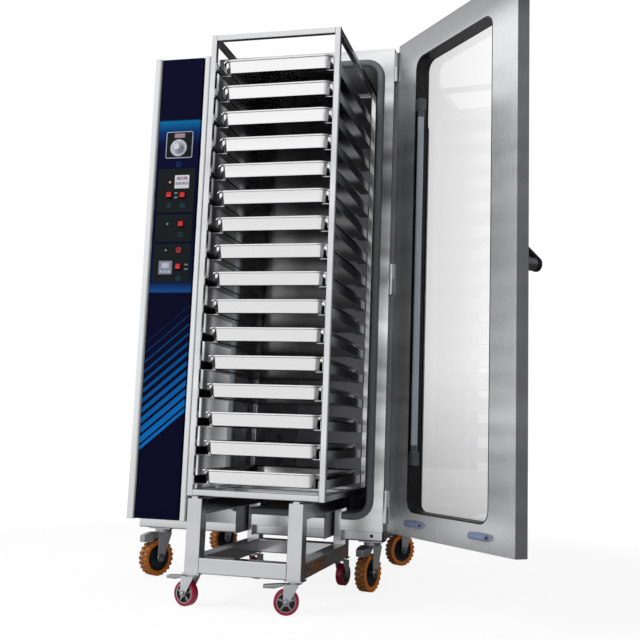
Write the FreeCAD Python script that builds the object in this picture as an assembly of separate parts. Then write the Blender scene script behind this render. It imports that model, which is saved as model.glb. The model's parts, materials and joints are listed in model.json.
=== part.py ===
import FreeCAD
import Part
import math
import os

V = FreeCAD.Vector

# Roll-in rack convection oven, in millimetres: X to the right, Y into the oven, Z up.
# The oven's front face is y = 0 while modelling, and the floor is z = 0.
# Export moves the origin to the floor under the middle of the oven's body.

# Oven body
body_w = 985.0
body_d = 1000.0
body_h = 1820.0
ground_gap = 182.0
skin_t = 1.5
fascia_t = 2.0

# Plinth frame under the body
plinth_h = 38.0
plinth_bar = 40.0
plinth_wall = 3.0
plinth_edge_r = 5.0
plinth_set_back = 35.0
plinth_in_left = 30.0
plinth_in_right = 8.0
dock_hole_r = 6.0
dock_hole_from_right = 38.0

# Control column on the left of the front
column_w = 252.0
column_out = 36.0
trim_w = 40.0
trim_wall = 2.0
panel_recess = 6.0
panel_t = 2.0

# Chamber: opening in the fascia, liner and air plenum on the left
opening_w = 516.0
opening_h = 1690.0
opening_r = 45.0
opening_from_right = 61.5
opening_from_bottom = 63.0
chamber_d = 888.0
plenum_w = 110.0
liner_t = 1.5
gasket_w = 25.0
gasket_out = 17.5

# Trolley base that carries the rack to the oven and docks in two notches
base_w = 389.0
base_d = 680.0
base_leg = 50.0
base_wall = 1.5
base_edge_r = 4.0
base_top = 340.0
base_off_centre = 34.5
dock_depth = 176.0
notch_gap = 6.0
pocket_gap = 12.0
strip_w = 20.0
strip_h = 6.4

# Rack cage and its trays
rack_w = 465.0
rack_d = 663.0
rack_h = 1584.0
rack_tube = 20.0
rack_wall = 1.2
rack_edge_r = 2.5
rack_off_centre = 15.0
rack_in = 194.0
rack_cross_count = 4
slide_gap = 0.2
tray_count = 16
tray_top_space = 82.6
tray_bottom_space = 85.4
tray_w = 400.0
tray_d = 600.0
tray_h = 48.0
tray_set_back = 36.0
tray_wall = 1.2
tray_rim = 6.0
tray_rim_h = 7.0
tray_draft = 8.0
tray_corner_r = 28.0
runner_w = 38.0
runner_h = 30.0
runner_t = 2.0
runner_lead = 4.0

# Door, drawn closed and then swung open about its hinge
door_w = 718.0
door_t = 45.0
door_reveal = 2.0
door_gap = 18.0
door_skin = 1.5
door_open_angle = 131.0
hinge_out = 11.0
hinge_front = 14.0
hinge_pin_r = 5.0
hinge_barrel_r = 9.0
hinge_h = 114.0
hinge_leaf_t = 3.0
hinge_leaf_w = 40.0
hinge_from_bottom = 89.0
hinge_from_top = 82.0
window_hinge_margin = 123.0
window_free_margin = 130.0
window_bottom_margin = 82.0
window_top_margin = 92.0
window_r = 45.0
reveal_wall = 4.0
reveal_depth = 50.0
glass_t = 5.0
glass_lap = 6.0
bead_w = 14.0
bead_lip = 3.0
lamp_r = 12.0
lamp_end_margin = 206.0
lamp_depth = 14.0
socket_h = 47.0
socket_w = 28.0
plug_r = 15.5
plug_bore_r = 7.0
plug_len = 120.0
plug_out = 14.0
plug_from_bottom = 46.5
plug_places = (180.0, 550.0)

# Door handle on the outer face
handle_from_free = 42.0
handle_from_bottom = 883.0
handle_plate_r = 32.0
handle_plate_t = 8.0
handle_boss_r = 20.0
handle_boss_h = 54.0
handle_spindle_r = 8.0
handle_hub_r = 23.0
handle_tip_r = 11.0
handle_len = 150.0
handle_t = 17.0
handle_rest_angle = 45.0

# Controls on the column's panel, placed across from its middle line and down from the body's top
bezel_w = 114.0
bezel_h = 110.0
bezel_across = 3.5
bezel_down = 361.0
bezel_t = 4.0
dial_across = 0.5
dial_down = 373.0
knob_r = 21.0
knob_h = 20.0
knob_taper = 3.0
spindle_r = 3.0
spindle_h = 16.0
subpanel_w = 154.0
subpanel_t = 1.5
subpanel_r = 8.0
subpanel_downs = ((459.0, 636.0), (645.0, 755.0), (764.0, 916.0))
display_t = 3.0
display_sets = ((24.0, 513.0, 61.0, 54.0), (-25.0, 858.0, 57.0, 54.0))
lamp_lens_r = 6.0
lamp_lens_sets = ((-26.5, 514.0), (-26.5, 683.0), (-26.5, 789.0))
buzzer_r = 12.5
buzzer_t = 6.0
buzzer_across = 27.5
buzzer_down = 789.0
rocker_w = 20.0
rocker_h = 22.0
rocker_frame = 3.0
rocker_frame_t = 2.5
rocker_gap = 0.6
rocker_out = 5.0
rocker_dip = 1.8
rocker_pin_r = 1.8
rocker_waist = 8.0
rocker_heel = 3.0
rocker_back = 7.0
rocker_tilt = 9.0
rocker_sets = ((-27.5, 566.5), (29.0, 568.5), (29.5, 685.5), (28.5, 855.5))

# Fans, heaters and baffle in the plenum
fan_from_floor = 432.0
fan_from_roof = 428.0
fan_y = 440.0
fan_r = 150.0
fan_w = 62.0
fan_blades = 14
blade_t = 3.0
blade_len = 42.0
blade_root_r = 109.0
blade_lean = 25.0
fan_hub_r = 26.0
fan_hub_w = 34.0
fan_disc_t = 2.0
fan_stand = 14.0
shaft_r = 8.0
shaft_hole_r = 12.0
shaft_fit = 0.05
motor_r = 72.0
motor_len = 150.0
flange_r = 92.0
flange_t = 8.0
heater_r = 178.0
heater_tube_r = 4.0
heater_sides = 12
heater_from_wall = 40.0
guard_rings = 3
guard_first_r = 34.0
guard_ring_pitch = 28.0
guard_first_slots = 8
guard_more_slots = 6
guard_slot_w = 9.0
guard_slot_len = 20.0
slot_w = 9.0
slot_h = 56.0
slot_pitch_y = 22.0
slot_pitch_z = 108.0
slot_rows = 14
slots_per_row = 4
slot_groups = (92.0, 560.0)
slot_from_floor = 107.0
baffle_t = 1.5
baffle_gap = 8.0

# Casters: places, rest directions and sizes; only the front ones have a brake pedal
caster_names = ("front_left", "front_right", "rear_left", "rear_right")
oven_caster_in_left = 102.5
oven_caster_in_right = 54.5
oven_caster_front = 102.0
oven_caster_rear = 134.0
oven_swivel = (-27.0, -16.0, -30.0, -39.0)
trolley_caster_h = 106.5
trolley_swivel = (-106.0, -75.0, 168.0, 167.0)
pin_r = 6.0
wheel_side_gap = 3.0
wheel_fit = 0.05
swivel_gap = 0.2
oven_lugs = 22
lug_depth = 5.0
lug_gap_share = 0.4
oven_caster = {
    "height": ground_gap, "plate": 88.0, "plate_t": 6.0, "head_r": 30.0, "head_h": 14.0,
    "fork_t": 5.0, "fork_back": 16.0, "leg_r": 14.0, "trail": 30.0,
    "wheel_r": 68.0, "wheel_w": 46.0, "rim_r": 48.0, "web_step": 8.0, "crown": 4.0, "hub_r": 14.0,
    "axle_r": 7.0,
    "pedal_w": 48.0, "pedal_nose": 24.0, "pedal_reach": 103.0, "pedal_drop": 10.0, "pedal_h": 22.0,
}
trolley_caster = {
    "height": trolley_caster_h, "plate": 58.0, "plate_t": 4.0, "head_r": 20.0, "head_h": 8.0,
    "fork_t": 3.0, "fork_back": 11.0, "leg_r": 10.0, "trail": 26.0,
    "wheel_r": 40.0, "wheel_w": 27.0, "rim_r": 29.0, "web_step": 4.3, "crown": 2.2, "hub_r": 10.0,
    "axle_r": 5.0,
    "pedal_w": 30.0, "pedal_nose": 24.0, "pedal_reach": 100.0, "pedal_drop": 5.0, "pedal_h": 8.0,
}

# Levels and edges worked out from the sizes above
half_w = body_w / 2
body_z0 = ground_gap + plinth_h
body_z1 = body_z0 + body_h
column_x1 = -half_w + column_w
panel_x0 = -half_w + trim_w
panel_x1 = column_x1 - trim_w
panel_y = panel_recess - column_out
panel_mid = (panel_x0 + panel_x1) / 2
bezel_x = panel_mid + bezel_across
bezel_z = body_z1 - bezel_down
timer_x = panel_mid + dial_across
timer_z = body_z1 - dial_down
subpanel_spans = [(body_z1 - low, body_z1 - high) for high, low in subpanel_downs]
displays = [(panel_mid + across, body_z1 - down, w, h) for across, down, w, h in display_sets]
lamp_lenses = [(panel_mid + across, body_z1 - down) for across, down in lamp_lens_sets]
rocker_places = [(panel_mid + across, body_z1 - down) for across, down in rocker_sets]
open_x1 = half_w - opening_from_right
open_x0 = open_x1 - opening_w
open_z0 = body_z0 + opening_from_bottom
open_z1 = open_z0 + opening_h
open_mid = (open_x0 + open_x1) / 2
fan_levels = (open_z0 + fan_from_floor, open_z1 - fan_from_roof)
liner_x0 = open_x0 - plenum_w
liner_y1 = fascia_t + chamber_d
base_x = open_mid - base_off_centre
base_x0 = base_x - base_w / 2
base_x1 = base_x + base_w / 2
base_y1 = dock_depth
base_y0 = base_y1 - base_d
leg_starts = (base_x0, base_x1 - base_leg)
notches = [(x - notch_gap, x + base_leg + notch_gap) for x in leg_starts]
pocket_y = dock_depth + pocket_gap
rail_z = base_top + strip_h
rack_x = open_mid - rack_off_centre
rack_y1 = rack_in
rack_y0 = rack_y1 - rack_d
rack_z0 = rail_z + slide_gap
rack_z1 = rack_z0 + rack_h
rack_inner = rack_w / 2 - rack_tube
tray_y0 = rack_y0 + tray_set_back
tray_pitch = (rack_h - tray_top_space - tray_bottom_space) / (tray_count - 1)
tray_rims = [rack_z1 - tray_top_space - i * tray_pitch for i in range(tray_count)]
door_x1 = half_w
door_x0 = door_x1 - door_w
door_z0 = body_z0 + door_reveal
door_z1 = body_z1 - door_reveal
door_in = -door_gap
door_out = door_in - door_t
hinge_axis = V(half_w + hinge_out, -hinge_front, 0)
hinge_low = door_z0 + hinge_from_bottom
hinge_high = door_z1 - hinge_from_top
hinge_levels = (hinge_low, (hinge_low + hinge_high) / 2, hinge_high)
handle_z = door_z0 + handle_from_bottom
plug_z = door_z0 + plug_from_bottom
window_x1 = door_x1 - window_hinge_margin
window_x0 = door_x0 + window_free_margin
window_z0 = door_z0 + window_bottom_margin
window_z1 = door_z1 - window_top_margin
lamp_z0 = window_z0 + lamp_end_margin
lamp_z1 = window_z1 - lamp_end_margin
bead_out = reveal_depth + glass_t + bead_lip
oven_caster_left = half_w - oven_caster_in_left
oven_caster_right = half_w - oven_caster_in_right
oven_spots = [V(x, y, 0) for y in (oven_caster_front, body_d - oven_caster_rear)
              for x in (-oven_caster_left, oven_caster_right)]
trolley_spots = [V(x + base_leg / 2, y, 0) for y in (base_y0 + base_leg / 2, base_y1 - base_leg / 2)
                 for x in leg_starts]
to_origin = V(0, -body_d / 2, 0)


def block(x0, x1, y0, y1, z0, z1):
    return Part.makeBox(x1 - x0, y1 - y0, z1 - z0, V(x0, y0, z0))


def rod(start, direction, length, radius):
    return Part.makeCylinder(radius, length, start, direction)


def rounded_wire(u0, u1, v0, v1, r, place):
    """Rounded rectangle; place turns its two coordinates into a point."""
    bulge = r * (1 - math.sqrt(0.5))
    corners = (
        ((u1 - r, v0), (u1 - bulge, v0 + bulge), (u1, v0 + r)),
        ((u1, v1 - r), (u1 - bulge, v1 - bulge), (u1 - r, v1)),
        ((u0 + r, v1), (u0 + bulge, v1 - bulge), (u0, v1 - r)),
        ((u0, v0 + r), (u0 + bulge, v0 + bulge), (u0 + r, v0)),
    )
    edges = []
    for i, corner in enumerate(corners):
        start, middle, end = (place(*p) for p in corner)
        edges.append(Part.makeLine(place(*corners[i - 1][2]), start))
        edges.append(Part.Arc(start, middle, end).toShape())
    return Part.Wire(edges)


def front_slab(x0, x1, z0, z1, r, y0, y1):
    """Plate parallel to the oven's front, with rounded corners."""
    wire = rounded_wire(x0, x1, z0, z1, r, lambda u, v: V(u, y0, v))
    return Part.Face(wire).extrude(V(0, y1 - y0, 0))


def round_bar(x0, x1, y0, y1, z0, z1, along, r):
    """Square bar running along X, Y or Z, its long edges rounded."""
    if along == "X":
        wire = rounded_wire(y0, y1, z0, z1, r, lambda u, v: V(x0, u, v))
        return Part.Face(wire).extrude(V(x1 - x0, 0, 0))
    if along == "Y":
        wire = rounded_wire(x0, x1, z0, z1, r, lambda u, v: V(u, y0, v))
        return Part.Face(wire).extrude(V(0, y1 - y0, 0))
    wire = rounded_wire(x0, x1, y0, y1, r, lambda u, v: V(u, v, z0))
    return Part.Face(wire).extrude(V(0, 0, z1 - z0))


def tube(x0, x1, y0, y1, z0, z1, along, wall, r):
    """Square tube with open ends and an even wall."""
    gap = {axis: 0.0 if axis == along else wall for axis in "XYZ"}
    core = round_bar(x0 + gap["X"], x1 - gap["X"], y0 + gap["Y"], y1 - gap["Y"], z0 + gap["Z"], z1 - gap["Z"],
                     along, r - wall)
    return round_bar(x0, x1, y0, y1, z0, z1, along, r).cut(core)


def prism(points, thickness):
    """Extrude a closed outline of points along a vector."""
    return Part.Face(Part.makePolygon(points + points[:1])).extrude(thickness)


def save(name, *solids):
    shape = Part.makeCompound(solids) if len(solids) > 1 else solids[0].copy()
    shape.translate(to_origin)
    shape.exportStep(f"parts/{name}.step")


def swung(solid):
    """Turn a piece of the closed door to where the open door stands."""
    turned = solid.copy()
    turned.rotate(hinge_axis, V(0, 0, 1), door_open_angle)
    return turned


def placed(solid, spot, angle):
    turned = solid.copy()
    turned.rotate(V(0, 0, 0), V(0, 0, 1), angle)
    turned.translate(spot)
    return turned


# Casters

def caster_plate(c):
    """Fixed top plate with the kingpin that the fork turns on."""
    half = c["plate"] / 2
    low = c["height"] - c["plate_t"]
    plate = block(-half, half, -half, half, low, c["height"])
    return plate.fuse(rod(V(0, 0, low - c["head_h"]), V(0, 0, 1), c["head_h"], pin_r))


def brake_pedal(c, root, top):
    """Foot pedal over the wheel's front, narrowing towards its nose."""
    w = c["pedal_w"] / 2
    nose = c["pedal_nose"] / 2
    tip = -c["pedal_reach"]
    nose_top = top - c["pedal_drop"]
    low = nose_top - c["pedal_h"]
    heel = root + c["fork_t"]
    knee = (root + tip) / 2
    side = prism([V(-w, heel, top), V(-w, tip, nose_top), V(-w, tip, low), V(-w, knee, low),
                  V(-w, heel, top - c["fork_t"])], V(2 * w, 0, 0))
    plan = prism([V(-w, heel, low), V(w, heel, low), V(w, knee, low), V(nose, tip, low), V(-nose, tip, low),
                  V(-w, knee, low)], V(0, 0, top - low))
    return side.common(plan)


def caster_fork(c, with_pedal):
    """Swivel head, bridge, two tapered legs and the axle; the wheel trails towards -Y."""
    head_z = c["height"] - c["plate_t"] - swivel_gap - c["head_h"]
    low = head_z - c["fork_t"]
    inner = c["wheel_w"] / 2 + wheel_side_gap
    outer = inner + c["fork_t"]
    leg_r = c["leg_r"]
    back = c["fork_back"]
    y = -c["trail"]
    axle_z = c["wheel_r"]
    fork = rod(V(0, 0, head_z), V(0, 0, 1), c["head_h"], c["head_r"])
    fork = fork.fuse(block(-outer, outer, y - leg_r, back, low, head_z))
    for x in (-outer, inner):
        outline = Part.Wire([
            Part.makeLine(V(x, back, low), V(x, y + leg_r, axle_z)),
            Part.Arc(V(x, y + leg_r, axle_z), V(x, y, axle_z - leg_r), V(x, y - leg_r, axle_z)).toShape(),
            Part.makeLine(V(x, y - leg_r, axle_z), V(x, y - leg_r, low)),
            Part.makeLine(V(x, y - leg_r, low), V(x, back, low)),
        ])
        fork = fork.fuse(Part.Face(outline).extrude(V(c["fork_t"], 0, 0)))
    fork = fork.fuse(rod(V(-outer, y, axle_z), V(1, 0, 0), 2 * outer, c["axle_r"]))
    if with_pedal:
        fork = fork.fuse(brake_pedal(c, y - leg_r, head_z))
    bore = rod(V(0, 0, low), V(0, 0, 1), c["fork_t"] + c["head_h"], pin_r + wheel_fit)
    return fork.cut(bore).removeSplitter()


def caster_wheel(c):
    """Wheel turned about its axle: crowned tread, thinner web and hub."""
    bore = c["axle_r"] + wheel_fit
    wheel_r = c["wheel_r"]
    half = c["wheel_w"] / 2
    web = half - c["web_step"]
    shoulder = half - c["crown"]
    right = [(half, bore), (half, c["hub_r"]), (web, c["hub_r"]), (web, c["rim_r"]), (half, c["rim_r"]),
             (half, wheel_r - c["crown"]), (shoulder, wheel_r)]
    outline = [V(x, 0, r) for x, r in right] + [V(-x, 0, r) for x, r in reversed(right)]
    wheel = Part.Face(Part.makePolygon(outline + outline[:1])).revolve(V(0, 0, 0), V(1, 0, 0), 360)
    wheel.translate(V(0, -c["trail"], wheel_r))
    return wheel


def lug_grooves(c):
    """Cutters that part the tread into blocks, in turn on its left and right half."""
    step = 2 * math.pi / oven_lugs
    half_cut = step * lug_gap_share / 2
    wheel_r = c["wheel_r"]
    grooves = []
    for i in range(oven_lugs):
        angle = i * step
        corners = [(wheel_r + lug_depth, angle - half_cut), (wheel_r + lug_depth, angle + half_cut),
                   (wheel_r - lug_depth, angle + half_cut), (wheel_r - lug_depth, angle - half_cut)]
        x0 = 0.0 if i % 2 else -c["wheel_w"]
        points = [V(x0, r * math.cos(a) - c["trail"], wheel_r + r * math.sin(a)) for r, a in corners]
        grooves.append(prism(points, V(c["wheel_w"], 0, 0)))
    return grooves


def build_casters(kind, c, spots, swivels, wheel):
    """Save the forks and wheels of four casters and return their fixed plates."""
    for name, spot, angle in zip(caster_names, spots, swivels):
        fork = caster_fork(c, name.startswith("front"))
        save(f"{kind}_fork_{name}", placed(fork, spot, angle))
        save(f"{kind}_wheel_{name}", placed(wheel, spot, angle))
    return [placed(caster_plate(c), spot, 0) for spot in spots]


# Oven body

def build_plinth(caster_plates):
    x0 = -half_w + plinth_in_left
    x1 = half_w - plinth_in_right
    y0 = plinth_set_back
    y1 = body_d - plinth_set_back
    z0 = ground_gap
    z1 = body_z0
    cuts = [x0, notches[0][0] - liner_t, notches[0][1] + liner_t, notches[1][0] - liner_t,
            notches[1][1] + liner_t, x1]
    bars = []
    for start, end in ((cuts[0], cuts[1]), (cuts[2], cuts[3]), (cuts[4], cuts[5])):
        bars.append(tube(start, end, y0, y0 + plinth_bar, z0, z1, "X", plinth_wall, plinth_edge_r))
    hole_at = V(half_w - dock_hole_from_right - plinth_in_right, y0 - plinth_wall, (z0 + z1) / 2)
    bars[2] = bars[2].cut(rod(hole_at, V(0, 1, 0), 3 * plinth_wall, dock_hole_r))
    bars.append(tube(x0, x1, y1 - plinth_bar, y1, z0, z1, "X", plinth_wall, plinth_edge_r))
    for start in (x0, x1 - plinth_bar):
        bars.append(tube(start, start + plinth_bar, y0 + plinth_bar, y1 - plinth_bar, z0, z1, "Y",
                         plinth_wall, plinth_edge_r))
    reach = oven_caster["plate"] / 2
    pad_xs = ((x0 + plinth_bar, reach - oven_caster_left), (oven_caster_right - reach, x1 - plinth_bar))
    pad_ys = ((y0 + plinth_bar, oven_caster_front + reach),
              (body_d - oven_caster_rear - reach, y1 - plinth_bar))
    for pad_x in pad_xs:
        for pad_y in pad_ys:
            bars.append(block(*pad_x, *pad_y, z0, z0 + oven_caster["plate_t"]))
    save("plinth_frame", *bars, *caster_plates)


def build_casing():
    z0 = body_z0
    z1 = body_z1
    back = body_d - skin_t
    side = half_w - skin_t
    y0 = fascia_t
    left = block(-half_w, -side, 0, body_d, z0, z1)
    right = block(side, half_w, y0, body_d, z0, z1)
    rear = block(-side, side, back, body_d, z0, z1)
    top = block(-side, side, y0, back, z1 - skin_t, z1)
    floors = [block(-side, side, pocket_y + liner_t, back, z0, z0 + skin_t)]
    edges = [-side, notches[0][0] - liner_t, notches[0][1] + liner_t, notches[1][0] - liner_t,
             notches[1][1] + liner_t, side]
    for start, end in ((edges[0], edges[1]), (edges[2], edges[3]), (edges[4], edges[5])):
        floors.append(block(start, end, y0, pocket_y + liner_t, z0, z0 + skin_t))
    save("outer_casing", left, right, rear, top, *floors)


def build_fascia():
    plate = block(panel_x1, half_w, 0, fascia_t, body_z0, body_z1)
    plate = plate.cut(front_slab(open_x0, open_x1, open_z0, open_z1, opening_r, -fascia_t, 2 * fascia_t))
    for x0, x1 in notches:
        plate = plate.cut(block(x0, x1, -fascia_t, 2 * fascia_t, body_z0 - fascia_t, open_z0 + opening_r))
    save("front_fascia", plate)


def build_gasket():
    g = gasket_w
    ring = front_slab(open_x0 - g, open_x1 + g, open_z0 - g, open_z1 + g, opening_r + g, -gasket_out, 0)
    ring = ring.cut(front_slab(open_x0, open_x1, open_z0, open_z1, opening_r, -2 * gasket_out, gasket_out))
    for x0, x1 in notches:
        ring = ring.cut(block(x0, x1, -2 * gasket_out, gasket_out, open_z0 - 2 * g, open_z0 + opening_r))
    save("door_gasket", *ring.Solids)


def build_liner():
    t = liner_t
    y0 = fascia_t
    y1 = liner_y1
    left = block(liner_x0 - t, liner_x0, y0, y1 + t, open_z0 - t, open_z1 + t)
    for z in fan_levels:
        left = left.cut(rod(V(liner_x0 - 2 * t, fan_y, z), V(1, 0, 0), 4 * t, shaft_hole_r))
    right = block(open_x1, open_x1 + t, y0, y1 + t, open_z0 - t, open_z1 + t)
    rear = block(liner_x0, open_x1, y1, y1 + t, open_z0 - t, open_z1 + t)
    roof = block(liner_x0, open_x1, y0, y1, open_z1, open_z1 + t)
    floors = [block(liner_x0, open_x1, pocket_y, y1, open_z0 - t, open_z0)]
    edges = [liner_x0, notches[0][0], notches[0][1], notches[1][0], notches[1][1], open_x1]
    for start, end in ((edges[0], edges[1]), (edges[2], edges[3]), (edges[4], edges[5])):
        floors.append(block(start, end, y0, pocket_y, open_z0 - t, open_z0))
    pockets = []
    for x0, x1 in notches:
        for start in (x0 - t, x1):
            pockets.append(block(start, start + t, y0, pocket_y, ground_gap, open_z0 - t))
        pockets.append(block(x0 - t, x1 + t, pocket_y, pocket_y + t, ground_gap, open_z0 - t))
    save("chamber_liner", left, right, rear, roof, *floors, *pockets)


def build_rails():
    """Two rails on the chamber's floor, in line with the docked base's side rails."""
    rails = []
    for x in leg_starts:
        rails.append(tube(x, x + base_leg, pocket_y + liner_t, liner_y1, open_z0, base_top, "Y", base_wall,
                          base_edge_r))
        middle = x + base_leg / 2
        rails.append(block(middle - strip_w / 2, middle + strip_w / 2, pocket_y + liner_t, liner_y1,
                           base_top, rail_z))
    save("chamber_rails", *rails)


def half_round(x0, x1, nose, inset):
    """Upright half-round trim, its flat back on the front plane."""
    r = (x1 - x0) / 2
    y = -(nose - r)
    middle = (x0 + x1) / 2
    outline = Part.Wire([
        Part.makeLine(V(x0, -inset, body_z0), V(x1, -inset, body_z0)),
        Part.makeLine(V(x1, -inset, body_z0), V(x1, y, body_z0)),
        Part.Arc(V(x1, y, body_z0), V(middle, -nose, body_z0), V(x0, y, body_z0)).toShape(),
        Part.makeLine(V(x0, y, body_z0), V(x0, -inset, body_z0)),
    ])
    return Part.Face(outline).extrude(V(0, 0, body_h))


def build_trims():
    trims = []
    for x0, x1 in ((-half_w, panel_x0), (panel_x1, column_x1)):
        core = half_round(x0 + trim_wall, x1 - trim_wall, column_out - trim_wall, trim_wall)
        trims.append(half_round(x0, x1, column_out, 0).cut(core))
    save("panel_trims", *trims)


# Controls

def build_panel():
    pan = block(panel_x0, panel_x1, panel_y, 0, body_z0, body_z1)
    t = panel_t
    pan = pan.cut(block(panel_x0 + t, panel_x1 - t, panel_y + t, 0, body_z0 + t, body_z1 - t))
    for x, z in rocker_places:
        w = rocker_w / 2 + rocker_frame / 2
        h = rocker_h / 2 + rocker_frame / 2
        pan = pan.cut(block(x - w, x + w, panel_y - t, panel_y + 2 * t, z - h, z + h))
    save("control_panel", pan)


def build_modules():
    """Sub-panels, timer bezel, displays, lamp lenses, buzzer and switch frames."""
    face = panel_y - subpanel_t
    plates = []
    for z0, z1 in subpanel_spans:
        plates.append(front_slab(panel_mid - subpanel_w / 2, panel_mid + subpanel_w / 2, z0, z1, subpanel_r,
                                 face, panel_y))
    frames = []
    for x, z in rocker_places:
        w = rocker_w / 2
        h = rocker_h / 2
        edge = rocker_frame
        hole = block(x - w, x + w, panel_y - 2 * rocker_frame_t - subpanel_t, panel_y + panel_t + rocker_back,
                     z - h, z + h)
        outer = block(x - w - edge, x + w + edge, face - rocker_frame_t, face, z - h - edge, z + h + edge)
        sleeve = block(x - w - edge / 2, x + w + edge / 2, face, panel_y + panel_t + rocker_back,
                       z - h - edge / 2, z + h + edge / 2)
        pins = rod(V(x - w, panel_y, z), V(1, 0, 0), 2 * w, rocker_pin_r)
        plates = [p.cut(sleeve) for p in plates]
        frames.append(outer.fuse(sleeve).cut(hole).fuse(pins))
    details = []
    for x, z, w, h in displays:
        details.append(front_slab(x - w / 2, x + w / 2, z - h / 2, z + h / 2, subpanel_t, face - display_t,
                                  face))
    for x, z in lamp_lenses:
        details.append(rod(V(x, face, z), V(0, -1, 0), subpanel_t, lamp_lens_r))
    buzzer_at = V(panel_mid + buzzer_across, face, body_z1 - buzzer_down)
    details.append(rod(buzzer_at, V(0, -1, 0), buzzer_t, buzzer_r))
    bezel = front_slab(bezel_x - bezel_w / 2, bezel_x + bezel_w / 2, bezel_z - bezel_h / 2,
                       bezel_z + bezel_h / 2, subpanel_r, panel_y - bezel_t, panel_y)
    bezel = bezel.fuse(rod(V(timer_x, panel_y - bezel_t, timer_z), V(0, -1, 0), spindle_h, spindle_r))
    save("control_modules", *plates, *frames, *details, bezel)


def build_knob():
    face = panel_y - bezel_t - slide_gap
    knob = Part.makeCone(knob_r, knob_r - knob_taper, knob_h, V(timer_x, face, timer_z), V(0, -1, 0))
    knob = knob.cut(rod(V(timer_x, face, timer_z), V(0, -1, 0), spindle_h, spindle_r + wheel_fit))
    save("timer_knob", knob)


def build_rockers():
    """Shallow V-faced keys that tilt on a pin across their frame, drawn switched off."""
    half = rocker_w / 2 - rocker_gap
    reach = rocker_h / 2 - 2 * rocker_gap
    tip = panel_y - subpanel_t - rocker_frame_t - rocker_out
    heel = panel_y + rocker_back - rocker_gap
    for i, (x, z) in enumerate(rocker_places):
        profile = ((tip, -reach), (tip + rocker_dip, 0), (tip, reach), (panel_y, rocker_waist),
                   (heel, rocker_heel), (heel, -rocker_heel), (panel_y, -rocker_waist))
        key = prism([V(x - half, y, z + dz) for y, dz in profile], V(2 * half, 0, 0))
        key = key.cut(rod(V(x - half, panel_y, z), V(1, 0, 0), 2 * half, rocker_pin_r + wheel_fit))
        key.rotate(V(x, panel_y, z), V(1, 0, 0), -rocker_tilt)
        save(f"rocker_{i + 1}", key)


# Air system

def build_baffle():
    """Wall with rings of radial slots in front of each fan and two upright bands of air slots."""
    x1 = open_x0
    x0 = x1 - baffle_t
    z0 = open_z0 + baffle_gap
    z1 = open_z1 - baffle_gap
    plate = block(x0, x1, fascia_t, liner_y1, open_z0, open_z1)
    cutters = []
    for ring in range(guard_rings):
        r = guard_first_r + ring * guard_ring_pitch
        slots = guard_first_slots + ring * guard_more_slots
        half_slot = guard_slot_w / 2
        for k in range(slots):
            slot = block(x0 - baffle_t, x1 + baffle_t, -half_slot, half_slot, r - guard_slot_len / 2,
                         r + guard_slot_len / 2)
            slot.rotate(V(0, 0, 0), V(1, 0, 0), 360.0 * k / slots)
            for z in fan_levels:
                cutters.append(slot.translated(V(0, fan_y, z)))
    for start in slot_groups:
        for row in range(slot_rows):
            low = open_z0 + slot_from_floor + row * slot_pitch_z
            for i in range(slots_per_row):
                y = start + i * slot_pitch_y
                cutters.append(block(x0 - baffle_t, x1 + baffle_t, y, y + slot_w, max(low, z0),
                                     min(low + slot_h, z1)))
    save("fan_baffle", plate.cut(cutters))


def build_fans():
    """Centrifugal wheels: a back disc, leaning blades and a bored hub."""
    disc_x = liner_x0 + fan_stand
    for i, z in enumerate(fan_levels):
        fan = rod(V(disc_x, fan_y, z), V(1, 0, 0), fan_disc_t, fan_r)
        fan = fan.fuse(rod(V(disc_x, fan_y, z), V(1, 0, 0), fan_hub_w, fan_hub_r))
        blade = block(disc_x, disc_x + fan_w, -blade_t / 2, blade_t / 2, 0, blade_len)
        blade.rotate(V(0, 0, 0), V(1, 0, 0), blade_lean)
        blade.translate(V(0, 0, blade_root_r))
        for k in range(fan_blades):
            turned = blade.copy()
            turned.rotate(V(0, 0, 0), V(1, 0, 0), 360.0 * k / fan_blades)
            turned.translate(V(0, fan_y, z))
            fan = fan.fuse(turned)
        bore = rod(V(disc_x, fan_y, z), V(1, 0, 0), fan_hub_w, shaft_r + shaft_fit)
        save(f"fan_{('lower', 'upper')[i]}", fan.cut(bore))


def build_motors():
    wall = liner_x0 - liner_t
    motors = []
    for z in fan_levels:
        motor = rod(V(wall - flange_t, fan_y, z), V(1, 0, 0), flange_t, flange_r)
        motor = motor.fuse(rod(V(wall - flange_t, fan_y, z), V(-1, 0, 0), motor_len, motor_r))
        reach = liner_t + fan_stand + fan_hub_w
        motors.append(motor.fuse(rod(V(wall, fan_y, z), V(1, 0, 0), reach, shaft_r)))
    save("fan_motors", *motors)


def build_heaters():
    """A many-sided tube ring round each fan, its two tails fixed to the plenum's wall."""
    rings = []
    x = liner_x0 + heater_from_wall
    for z in fan_levels:
        points = []
        for k in range(heater_sides + 1):
            a = 2 * math.pi * k / heater_sides
            points.append(V(x, fan_y + heater_r * math.sin(a), z - heater_r * math.cos(a)))
        path = Part.makePolygon(points)
        section = Part.Wire(Part.makeCircle(heater_tube_r, points[0], points[1] - points[0]))
        ring = path.makePipeShell([section], True, False, 1)
        tails = [rod(V(liner_x0, p.y, p.z), V(1, 0, 0), heater_from_wall, heater_tube_r)
                 for p in (points[1], points[-2])]
        rings.append(ring.fuse(tails))
    save("heating_elements", *rings)


# Trolley base and rack

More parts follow.
